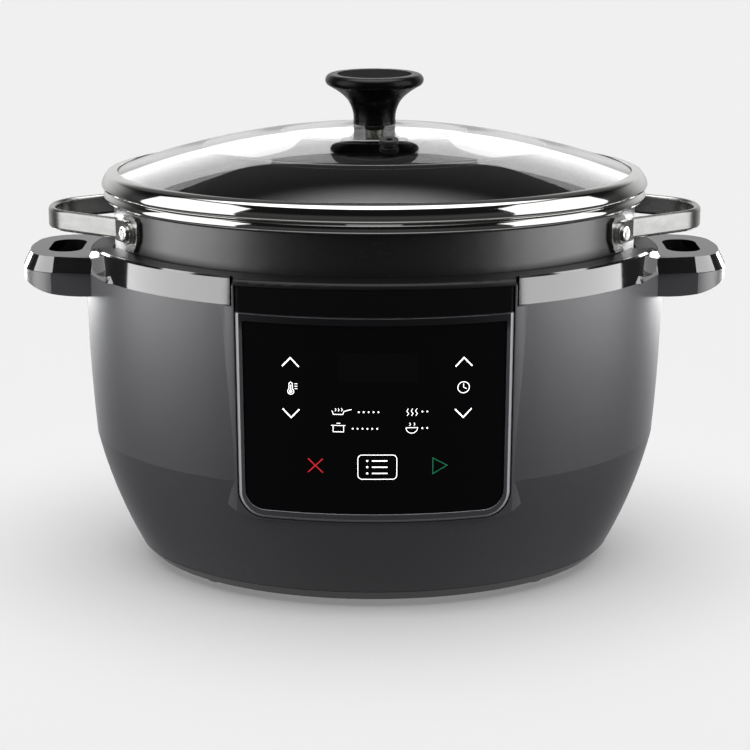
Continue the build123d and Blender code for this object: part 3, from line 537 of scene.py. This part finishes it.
finishes["cast_aluminium"] = worked_metal(
    "machined_cast_aluminium", "#b5b5b4", 0.38, 0.8, (1, 1, 0.3), 0.02, "#c4c4c3"
)
finishes["contact_brass"] = worked_metal(
    "bright_brass", "#cfa85a", 0.20, 0.4, (1, 0.1, 1), 0.002, "#dcb86c"
)
print("metals:", 8)

# %% [markdown]
# ### Rubbers, wool, board and glass
#
# Silicone and rubber are matt with a soft bloom. Glass wool is a felt of fibres. The circuit
# boards have a green solder mask over copper tracks, which a brick pattern suggests. Tempered
# glass is clear, and all that it needs is the slow wave that the rollers left in it.

# %% Rubber and silicone
def soft_rubber(name, dark, light, grain):
    """Matt rubber with a powdery bloom."""
    finish, tree, shader, place = new_finish(
        name, dark, 0.68, **{"Sheen Weight": 0.15, "Sheen Roughness": 0.5}
    )
    bloom = add_node(
        tree, "ShaderNodeTexNoise", {}, {"Vector": place, "Scale": per_metre(grain), "Detail": 4.0}
    )
    tone = add_node(
        tree, "ShaderNodeMix", {"data_type": "RGBA"},
        {0: bloom.outputs[0], 6: linear(dark), 7: linear(light)},
    )
    relief = add_node(
        tree, "ShaderNodeBump", {}, {"Height": bloom.outputs[0], "Distance": 0.02 * MM, "Strength": 0.5}
    )
    tree.links.new(tone.outputs[2], shader.inputs["Base Color"])
    tree.links.new(relief.outputs[0], shader.inputs["Normal"])
    return finish


finishes["foot_rubber"] = soft_rubber("black_rubber_foot", "#1b1b1b", "#262626", 1.2)
finishes["black_silicone"] = soft_rubber("black_silicone", "#121213", "#1a1a1c", 0.9)
finishes["wire_insulation"] = soft_rubber("white_silicone_sleeve", "#c6c2b8", "#d6d3ca", 1.5)
finishes["glass_wool"] = soft_rubber("glass_wool_felt", "#c9c2a8", "#e6e1cf", 2.5)


# %% Circuit board
def circuit_board():
    """Green solder mask over lighter copper tracks about 2 mm apart."""
    finish, tree, shader, place = new_finish("solder_mask_board", "#0f3d22", 0.32)
    tracks = add_node(
        tree, "ShaderNodeTexBrick", {},
        {
            "Vector": place, "Scale": per_metre(8),
            "Color1": linear("#0f3d22"), "Color2": linear("#124628"),
            "Mortar": linear("#2c6b42"), "Mortar Size": 0.05,
        },
    )
    relief = add_node(
        tree, "ShaderNodeBump", {},
        {"Height": tracks.outputs["Fac"], "Distance": 0.03 * MM, "Strength": 0.4},
    )
    tree.links.new(tracks.outputs["Color"], shader.inputs["Base Color"])
    tree.links.new(relief.outputs[0], shader.inputs["Normal"])
    return finish


finishes["circuit_board"] = circuit_board()


# %% Tempered lid glass
def lid_glass():
    """Clear tempered soda-lime glass; a slow bump stands for its roller wave."""
    finish, tree, shader, place = new_finish(
        "tempered_lid_glass", "#ffffff", 0.0, **{"Transmission Weight": 1.0, "IOR": 1.5}
    )
    wave = add_node(
        tree, "ShaderNodeTexNoise", {}, {"Vector": place, "Scale": per_metre(70), "Detail": 1.0}
    )
    relief = add_node(
        tree, "ShaderNodeBump", {}, {"Height": wave.outputs[0], "Distance": 0.01 * MM, "Strength": 0.1}
    )
    tree.links.new(relief.outputs[0], shader.inputs["Normal"])
    return finish


finishes["lid_glass"] = lid_glass()

# %% Give every part its finish
slot_of = {row["node"]: row["material_slot"] for row in frame["record"]["subparts"]}
# The knob's dish and collar share a slot with brighter pieces, but are duller than those. The dish is also
# a darker copy of the knob's phenolic, and the collar, a bright metal washer, is coloured near-black: both
# darknesses are painted shade.
finishes["knob_dish"] = polished_plastic("duller_dish_with_painted_shade", "#050506", 0.60, 0.10, 20, 0.05)
finishes["dark_collar"] = polished_plastic("collar_with_painted_shade", "#0c0c0d", 0.20, 0.08, 20, 0.35)
own_finish = {"knob_cap": "knob_dish", "knob_washer": "dark_collar"}
for name, part in parts.items():
    for holder in part.material_slots:
        holder.link = "OBJECT"
        holder.material = finishes[own_finish.get(name, slot_of[name])]
print(len(slot_of), "parts finished with", len(finishes), "finishes")

# %% [markdown]
# ## The turned ovals of the lid
#
# The glass dome, its steel channel and the pot's rolled rim are all one outline turned about the
# upright axis and squeezed to an oval. Their smooth mirror surfaces show every facet, so they are
# made again here with many more steps than the CAD mesh has. Spin and scale would do it too;
# working the points out directly keeps each piece's place in its mesh.

# %% Turning an outline
OVAL = 0.78
TURN_STEPS = 288


def sweep_through(start, middle, end, steps=10):
    """Points of a smooth bow from start to end by way of a middle point."""
    bow = []
    for t in np.linspace(0, 1, steps):
        weights = (2 * t * t - 3 * t + 1, 4 * t - 4 * t * t, 2 * t * t - t)
        bow.append(
            tuple(weights[0] * a + weights[1] * b + weights[2] * c for a, b, c in zip(start, middle, end))
        )
    return bow


def turned_oval(name, outline, body, finish, stands_for):
    """Turns a closed outline of (half-width, height) points in mm into an oval piece."""
    rings = len(outline)
    points, faces = [], []
    for step in range(TURN_STEPS):
        angle = 2 * math.pi * step / TURN_STEPS
        for radius, height in outline:
            across, along = radius * MM * math.cos(angle), radius * MM * OVAL * math.sin(angle)
            points.append((across, along + POT_AXIS_Y, height * MM))
    for step in range(TURN_STEPS):
        here, there = step * rings, (step + 1) % TURN_STEPS * rings
        for k in range(rings):
            after = (k + 1) % rings
            faces.append((here + k, there + k, there + after, here + after))
    mesh = bpy.data.meshes.new(name)
    mesh.from_pydata(points, [], faces)
    shape = bmesh.new()
    shape.from_mesh(mesh)
    bmesh.ops.recalc_face_normals(shape, faces=shape.faces)
    shape.to_mesh(mesh)
    shape.free()
    mesh.shade_smooth()
    mesh.set_sharp_from_angle(angle=math.radians(35))
    mesh.materials.append(finishes[finish])
    piece = bpy.data.objects.new(name, mesh)
    bpy.context.scene.collection.objects.link(piece)
    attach(piece, body)
    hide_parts(stands_for)
    print(name, "has", len(mesh.polygons), "faces")
    return piece


# %% Glass dome
DOME_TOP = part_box("lid_glass")[1].z / MM
GLASS_EDGE = 157.0
GLASS_THICK = 3.5
RING_HALF_WIDTHS = (55.0, 101.5)


def dome_height(radius):
    """Height of the glass's outer face in mm at an oval half-width in mm."""
    return DOME_TOP - 0.25 - (DOME_TOP - 236.25) * (radius / 155) ** 2


outer_face, bands = [], (3.2, *RING_HALF_WIDTHS, GLASS_EDGE)
for low, high in zip(bands, bands[1:]):
    middle = (low + high) / 2
    crown = (middle, dome_height(middle) + 0.2)
    outer_face += sweep_through((low, dome_height(low)), crown, (high, dome_height(high)), 16)[:-1]
outer_face.append((GLASS_EDGE, dome_height(GLASS_EDGE)))
under_face = [(r, dome_height(r) - GLASS_THICK) for r in np.linspace(GLASS_EDGE, 3.2, 40)]
lid_dome = turned_oval("lid_dome", outer_face + under_face, "lid", "lid_glass", "lid_glass")

# %% Steel channel and rim
slot_top = dome_height(GLASS_EDGE) + 0.15
channel = [(150.6, 223.0), (152.2, 223.0), (152.2, 227.3), (160.8, 227.3)]
channel += sweep_through((160.8, 227.3), (162.5, 230.4), (159.4, 236.0), 14)[1:]
channel += sweep_through((159.4, 236.0), (156.6, 237.0), (153.0, 237.6), 10)[1:]
channel += [(153.0, 237.0), (157.3, slot_top), (157.3, slot_top - 3.8), (150.6, slot_top - 3.8)]
lid_channel = turned_oval("lid_channel", channel, "lid", "polished_steel", "lid_band")

rim = [(155.6, 220.8), (159.3, 220.8)]
rim += sweep_through((159.3, 220.8), (161.5, 223.2), (159.5, 226.8), 12)[1:]
rim += [(152.7, 226.8), (152.7, 226.0), (155.6, 226.0)]
pot_rim = turned_oval("pot_rolled_rim", rim, "pot", "polished_steel", "pot_rim_band")
glass_only.objects.link(lid_dome)
for piece in (lid_dome, lid_channel, pot_rim):
    shiny_only.objects.link(piece)
    not_card_or_shiny.objects.link(piece)
    not_card_or_shiny.collection_objects[-1].light_linking.link_state = "EXCLUDE"
print("flagged:", lid_dome.name, lid_channel.name, pot_rim.name)

# %% [markdown]
# ## The sensor's spring
#
# Under the pot a sprung button rides on a small coil, which shortens by 3 mm when the button goes
# down. Separate turns that close up could be made with shape keys; here the coil is only copied
# onto the base as one smooth mesh, and it keeps its length.

# %% A copy of the coil
coil_shape = bmesh.new()
coil_shape.from_mesh(parts["sensor_spring"].data)
bmesh.ops.remove_doubles(coil_shape, verts=coil_shape.verts, dist=0.001 * MM)
coil_mesh = bpy.data.meshes.new("sensor_coil")
coil_shape.to_mesh(coil_mesh)
coil_shape.free()
coil_mesh.shade_smooth()
coil_mesh.materials.clear()
coil_mesh.materials.append(finishes["spring_steel"])
coil = bpy.data.objects.new("sensor_coil", coil_mesh)
bpy.context.scene.collection.objects.link(coil)
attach(coil, "base")
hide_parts("sensor_spring")
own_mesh(coil)

# %% [markdown]
# ## Two fine rings in the glass
#
# Where the dome changes its curve, pressed glass keeps a fine frosted line. Each line follows an
# oval path, which suits Geometry Nodes: a circle is squeezed, lifted to its height, and given a
# round section. The result is turned into a plain mesh, because only meshes can be exported.

# %% Frosted line finish
def frosted_glass():
    """Etched glass: it scatters light, so the line shows faintly against what is behind it."""
    finish, tree, shader, place = new_finish(
        "frosted_glass_line", "#d4d8d7", 0.55, **{"Transmission Weight": 0.9, "IOR": 1.5}
    )
    frost = add_node(
        tree, "ShaderNodeTexNoise", {}, {"Vector": place, "Scale": per_metre(0.4), "Detail": 3.0}
    )
    gloss = add_node(
        tree, "ShaderNodeMapRange", {}, {"Value": frost.outputs[0], "To Min": 0.4, "To Max": 0.7}
    )
    tree.links.new(gloss.outputs[0], shader.inputs["Roughness"])
    return finish


finishes["frosted_line"] = frosted_glass()


# %% The oval line as a node tree
def oval_line_tree():
    """Geometry Nodes: an oval path with a round section, its sizes as inputs."""
    tree = bpy.data.node_groups.new("oval_line", "GeometryNodeTree")
    for name in ("Half Width", "Depth Ratio", "Height", "Centre Y", "Thickness"):
        tree.interface.new_socket(name, in_out="INPUT", socket_type="NodeSocketFloat")
    tree.interface.new_socket("Finish", in_out="INPUT", socket_type="NodeSocketMaterial")
    tree.interface.new_socket("Line", in_out="OUTPUT", socket_type="NodeSocketGeometry")
    given = add_node(tree, "NodeGroupInput").outputs
    path = add_node(
        tree, "GeometryNodeCurvePrimitiveCircle", {}, {"Resolution": 288, "Radius": given["Half Width"]}
    )
    squeeze = add_node(tree, "ShaderNodeCombineXYZ", {}, {"X": 1.0, "Y": given["Depth Ratio"], "Z": 1.0})
    lift = add_node(tree, "ShaderNodeCombineXYZ", {}, {"Y": given["Centre Y"], "Z": given["Height"]})
    placed = add_node(
        tree, "GeometryNodeTransform", {},
        {"Geometry": path.outputs[0], "Scale": squeeze.outputs[0], "Translation": lift.outputs[0]},
    )
    section = add_node(
        tree, "GeometryNodeCurvePrimitiveCircle", {}, {"Resolution": 8, "Radius": given["Thickness"]}
    )
    tube = add_node(
        tree, "GeometryNodeCurveToMesh", {},
        {"Curve": placed.outputs[0], "Profile Curve": section.outputs[0]},
    )
    real = add_node(tree, "GeometryNodeRealizeInstances", {}, {0: tube.outputs[0]})
    smooth = add_node(tree, "GeometryNodeSetShadeSmooth", {}, {0: real.outputs[0]})
    finished = add_node(
        tree, "GeometryNodeSetMaterial", {}, {0: smooth.outputs[0], "Material": given["Finish"]}
    )
    add_node(tree, "NodeGroupOutput", {}, {0: finished.outputs[0]})
    return tree


# %% Running a node tree into a plain mesh
def grow(name, tree, inputs):
    """Runs a Geometry Nodes tree on an empty mesh and returns its result as a plain object."""
    seed_mesh = bpy.data.meshes.new(name + "_seed")
    seed = bpy.data.objects.new(name + "_seed", seed_mesh)
    bpy.context.scene.collection.objects.link(seed)
    nodes = seed.modifiers.new("grow", "NODES")
    nodes.node_group = tree
    for item in tree.interface.items_tree:
        if item.in_out == "INPUT" and item.name in inputs:
            nodes[item.identifier] = inputs[item.name]
    seen_now = seed.evaluated_get(bpy.context.evaluated_depsgraph_get())
    mesh = bpy.data.meshes.new_from_object(seen_now)
    seed.modifiers.remove(nodes)
    bpy.data.objects.remove(seed)
    mesh.name = name
    grown = bpy.data.objects.new(name, mesh)
    bpy.context.scene.collection.objects.link(grown)
    return grown


oval_line = oval_line_tree()
for half_width in RING_HALF_WIDTHS:
    ring = grow(
        f"glass_ring_{half_width:.0f}", oval_line,
        {
            "Half Width": half_width * MM, "Depth Ratio": OVAL, "Height": dome_height(half_width) * MM,
            "Centre Y": POT_AXIS_Y, "Thickness": 0.16 * MM, "Finish": finishes["frosted_line"],
        },
    )
    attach(ring, "lid")
    print(ring.name, "has", len(ring.data.polygons), "faces")

# %% [markdown]
# ## The panel's marks, with painted glow
#
# The marks are printed behind the touch glass, and their ink is given a painted glow. Flat text
# or curves would miss the glass, which is curved and leans back, so each mark is drawn as strokes
# in the panel's plane, cut into short pieces, and every point is then dropped straight onto the
# glass. The words of such a panel are drawn here as plain pictograms.

# %% Ink with painted glow
def painted_glow_ink(name, hex_colour, glow):
    """Translucent ink with a painted glow: its own emission carries the colour, with no lamp behind it."""
    finish, tree, shader, place = new_finish(
        name, hex_colour, 0.4, **{"Emission Color": linear(hex_colour), "Emission Strength": glow}
    )
    screen = add_node(
        tree, "ShaderNodeTexNoise", {}, {"Vector": place, "Scale": per_metre(0.5), "Detail": 2.0}
    )
    gloss = add_node(
        tree, "ShaderNodeMapRange", {}, {"Value": screen.outputs[0], "To Min": 0.35, "To Max": 0.45}
    )
    tree.links.new(gloss.outputs[0], shader.inputs["Roughness"])
    return finish


# The glow on each ink is painted light: no lamp stands behind the panel.
finishes["white_ink"] = painted_glow_ink("white_painted_glow_ink", "#f4f4f4", 0.9)
finishes["red_ink"] = painted_glow_ink("red_painted_glow_ink", "#a81820", 0.7)
finishes["green_ink"] = painted_glow_ink("green_painted_glow_ink", "#0d5f3e", 0.32)
finishes["display_ink"] = polished_plastic("unlit_display", "#070708", 0.07, 0.03, 60, 0.25)

# %% Dropping points onto the glass
glass_mesh = parts["panel_glass"].data
glass_tree = BVHTree.FromPolygons(
    [v.co for v in glass_mesh.vertices], [p.vertices[:] for p in glass_mesh.polygons]
)


def on_glass(x, z, proud):
    """The point in front of the glass at x, z in mm, standing proud of it by this much in mm."""
    hit = glass_tree.ray_cast(Vector((x * MM, -1, z * MM)), Vector((0, 1, 0)))[0]
    return (x * MM, hit.y - proud * MM, z * MM)


# %% Strokes and filled shapes
MARK_FRONT, MARK_BACK = 0.07, 0.01


def cut_short(points, closed, step=0.9):
    """Divides a line of (x, z) points into pieces no longer than step, in mm."""
    ends = list(zip(points, points[1:] + points[:1])) if closed else list(zip(points, points[1:]))
    dense = []
    for (x0, z0), (x1, z1) in ends:
        count = max(1, math.ceil(math.hypot(x1 - x0, z1 - z0) / step))
        dense += [(x0 + (x1 - x0) * k / count, z0 + (z1 - z0) * k / count) for k in range(count)]
    return dense if closed else dense + [points[-1]]


def stroke(shape, points, width, closed=False):
    """Adds a raised line of this width in mm along the points to a mark."""
    line = cut_short(points, closed)
    count = len(line)
    sides = []
    for k, (x, z) in enumerate(line):
        before = line[k - 1] if closed or k else line[k]
        after = line[(k + 1) % count] if closed or k < count - 1 else line[k]
        way = Vector((after[0] - before[0], after[1] - before[1])).normalized()
        inward = Vector((x - before[0], z - before[1])) if before != line[k] else way * 1
        bend = max(0.5, abs(way.dot(inward.normalized())))
        reach = width / 2 / bend
        left, right = (x - way.y * reach, z + way.x * reach), (x + way.y * reach, z - way.x * reach)
        sides.append([shape.verts.new(on_glass(*p, proud)) for p, proud in
                      ((left, MARK_FRONT), (right, MARK_FRONT), (right, MARK_BACK), (left, MARK_BACK))])
    for k in range(count if closed else count - 1):
        a, b = sides[k], sides[(k + 1) % count]
        for i in range(4):
            j = (i + 1) % 4
            shape.faces.new((a[i], a[j], b[j], b[i]))
    if not closed:
        shape.faces.new(sides[0][::-1])
        shape.faces.new(sides[-1])


def disc(shape, x, z, radius, corners=20):
    """Adds a raised round dot to a mark."""
    turns = [2 * math.pi * k / corners for k in range(corners)]
    edge = [(x + radius * math.cos(t), z + radius * math.sin(t)) for t in turns]
    rings = [
        [shape.verts.new(on_glass(*point, proud)) for point in edge] for proud in (MARK_FRONT, MARK_BACK)
    ]
    shape.faces.new(rings[0])
    shape.faces.new(rings[1][::-1])
    for k in range(corners):
        after = (k + 1) % corners
        shape.faces.new((rings[0][k], rings[1][k], rings[1][after], rings[0][after]))


def arc_points(x, z, radius, start, end, steps=16):
    """Points of an arc in degrees, in mm."""
    turns = [math.radians(start + (end - start) * k / steps) for k in range(steps + 1)]
    return [(x + radius * math.cos(t), z + radius * math.sin(t)) for t in turns]


def rounded_box(x0, x1, z0, z1, radius):
    """Corner points of a rounded rectangle in mm."""
    outline = arc_points(x1 - radius, z1 - radius, radius, 0, 90, 6)
    outline += arc_points(x0 + radius, z1 - radius, radius, 90, 180, 6)
    outline += arc_points(x0 + radius, z0 + radius, radius, 180, 270, 6)
    return outline + arc_points(x1 - radius, z0 + radius, radius, 270, 360, 6)


def keep_mark(name, shape, finish):
    """Closes a mark: outward faces, its ink, and the base as its body."""
    bmesh.ops.recalc_face_normals(shape, faces=shape.faces)
    mesh = bpy.data.meshes.new(name)
    shape.to_mesh(mesh)
    shape.free()
    mesh.materials.append(finishes[finish])
    mark = bpy.data.objects.new(name, mesh)
    bpy.context.scene.collection.objects.link(mark)
    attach(mark, "base")
    print(name, "has", len(mesh.polygons), "faces")
    return mark


# %% Arrows, thermometer and clock
arrows = bmesh.new()
for x in (-46.0, 49.0):
    stroke(arrows, [(x - 4.6, 149.3), (x, 154.3), (x + 4.6, 149.3)], 0.75)
    stroke(arrows, [(x - 4.6, 124.6), (x, 119.6), (x + 4.6, 124.6)], 0.75)
keep_mark("panel_arrows", arrows, "white_ink")

dials = bmesh.new()
stroke(
    dials, arc_points(-46.0, 134.9, 1.7, 125, 415, 20) + [(-45.1, 139.5), (-46.0, 140.3), (-46.9, 139.5)],
    0.4, True,
)
disc(dials, -46.0, 134.9, 0.9)
stroke(dials, [(-46.0, 135.2), (-46.0, 138.6)], 0.45)
for z in (136.6, 138.0, 139.4):
    stroke(dials, [(-43.9, z), (-42.3, z)], 0.36)
stroke(dials, arc_points(49.0, 137.1, 3.2, 0, 360, 32)[:-1], 0.42, True)
stroke(dials, [(49.0, 139.3), (49.0, 137.1), (50.7, 136.2)], 0.4)
keep_mark("panel_dials", dials, "white_ink")

# %% Mode pictograms
modes = bmesh.new()
stroke(modes, [(-23.4, 124.6), (-22.6, 122.4), (-17.4, 122.4), (-16.6, 124.6)], 0.42)
stroke(modes, [(-16.7, 124.2), (-12.6, 125.4)], 0.45)
for x in (-21.6, -19.9, -18.2):
    stroke(modes, [(x, 124.2), (x + 0.5, 125.1), (x, 126.0)], 0.36)
stroke(modes, [(-22.8, 115.6), (-22.8, 112.2), (-17.0, 112.2), (-17.0, 115.6)], 0.42)
stroke(modes, [(-23.8, 115.9), (-16.0, 115.9)], 0.42)
stroke(modes, [(-20.9, 117.2), (-18.9, 117.2)], 0.42)
for x in (18.0, 20.4, 22.8):
    stroke(modes, [(x, 121.6), (x + 0.8, 122.9), (x - 0.2, 124.3), (x + 0.6, 125.8)], 0.4)
stroke(modes, arc_points(20.6, 114.6, 3.2, 180, 360, 14) + [(17.4, 114.6)], 0.42)
for x in (19.4, 21.8):
    stroke(modes, [(x, 115.7), (x + 0.5, 116.6), (x, 117.5)], 0.36)
keep_mark("panel_modes", modes, "white_ink")

# %% Cancel, menu and start
cancel = bmesh.new()
stroke(cancel, [(-36.9, 96.0), (-28.7, 87.8)], 0.6)
stroke(cancel, [(-36.9, 87.8), (-28.7, 96.0)], 0.6)
keep_mark("panel_cancel", cancel, "red_ink")

menu = bmesh.new()
stroke(menu, rounded_box(-9.2, 12.4, 84.3, 98.7, 2.4), 0.42, True)
for z in (95.2, 91.5, 87.8):
    disc(menu, -4.0, z, 0.6)
    stroke(menu, [(-1.4, z), (7.2, z)], 0.7)
keep_mark("panel_menu", menu, "white_ink")

start = bmesh.new()
stroke(start, [(32.4, 87.0), (32.4, 96.4), (40.3, 91.7)], 0.5, True)
keep_mark("panel_start", start, "green_ink")

# %% [markdown]
# ### Level dots
#
# After each mode comes a row of small level dots. One dot repeated along a line is the simplest
# thing Geometry Nodes do: a line of points, a small disc on each, made real and given its ink.
# The flat row is then dropped onto the glass as the strokes were.

# %% A row of dots as a node tree
def dot_row_tree():
    """Geometry Nodes: a row of small discs in the XZ plane, their number, pitch and size as inputs."""
    tree = bpy.data.node_groups.new("dot_row", "GeometryNodeTree")
    tree.interface.new_socket("Count", in_out="INPUT", socket_type="NodeSocketInt")
    for name in ("Pitch", "Radius"):
        tree.interface.new_socket(name, in_out="INPUT", socket_type="NodeSocketFloat")
    tree.interface.new_socket("Start", in_out="INPUT", socket_type="NodeSocketVector")
    tree.interface.new_socket("Finish", in_out="INPUT", socket_type="NodeSocketMaterial")
    tree.interface.new_socket("Row", in_out="OUTPUT", socket_type="NodeSocketGeometry")
    given = add_node(tree, "NodeGroupInput").outputs
    pitch = add_node(tree, "ShaderNodeCombineXYZ", {}, {"X": given["Pitch"]})
    row = add_node(
        tree, "GeometryNodeMeshLine", {},
        {"Count": given["Count"], "Start Location": given["Start"], "Offset": pitch.outputs[0]},
    )
    dot = add_node(
        tree, "GeometryNodeMeshCylinder", {},
        {"Vertices": 14, "Radius": given["Radius"], "Depth": 0.06 * MM},
    )
    dots = add_node(
        tree, "GeometryNodeInstanceOnPoints", {},
        {"Points": row.outputs[0], "Instance": dot.outputs[0], "Rotation": (math.pi / 2, 0, 0)},
    )
    real = add_node(tree, "GeometryNodeRealizeInstances", {}, {0: dots.outputs[0]})
    finished = add_node(
        tree, "GeometryNodeSetMaterial", {}, {0: real.outputs[0], "Material": given["Finish"]}
    )
    add_node(tree, "NodeGroupOutput", {}, {0: finished.outputs[0]})
    return tree


dot_row = dot_row_tree()
LEVEL_ROWS = (
    ("sear", -8.6, 123.9, 5), ("slow", -12.0, 114.2, 6),
    ("steam", 26.4, 123.9, 2), ("warm", 26.4, 114.2, 2),
)
for name, x, z, count in LEVEL_ROWS:
    dots = grow(
        f"level_dots_{name}", dot_row,
        {
            "Count": count, "Pitch": 2.7 * MM, "Radius": 0.5 * MM, "Start": (x * MM, 0, z * MM),
            "Finish": finishes["white_ink"],
        },
    )
    for vertex in dots.data.vertices:
        depth = 0.04 - vertex.co.y / MM
        vertex.co = on_glass(vertex.co.x / MM, vertex.co.z / MM, depth)
    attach(dots, "base")
print("level dots:", 4, "rows")

# %% Unlit display
DISPLAY_LEFT, DISPLAY_WIDTH, DISPLAY_HEIGHTS = -19.4, 43.2, (141.2, 157.8)
DISPLAY_STEPS = 24
display = bmesh.new()
columns = [DISPLAY_LEFT + DISPLAY_WIDTH * k / DISPLAY_STEPS for k in range(DISPLAY_STEPS + 1)]
fronts = [[display.verts.new(on_glass(x, z, 0.03)) for x in columns] for z in DISPLAY_HEIGHTS]
backs = [[display.verts.new(on_glass(x, z, 0.005)) for x in columns] for z in DISPLAY_HEIGHTS]
for k in range(DISPLAY_STEPS):
    display.faces.new((fronts[0][k], fronts[0][k + 1], fronts[1][k + 1], fronts[1][k]))
    display.faces.new((backs[0][k], backs[1][k], backs[1][k + 1], backs[0][k + 1]))
    display.faces.new((fronts[0][k], backs[0][k], backs[0][k + 1], fronts[0][k + 1]))
    display.faces.new((fronts[1][k], fronts[1][k + 1], backs[1][k + 1], backs[1][k]))
for k in (0, DISPLAY_STEPS):
    display.faces.new((fronts[0][k], fronts[1][k], backs[1][k], backs[0][k]))
keep_mark("panel_display", display, "display_ink")
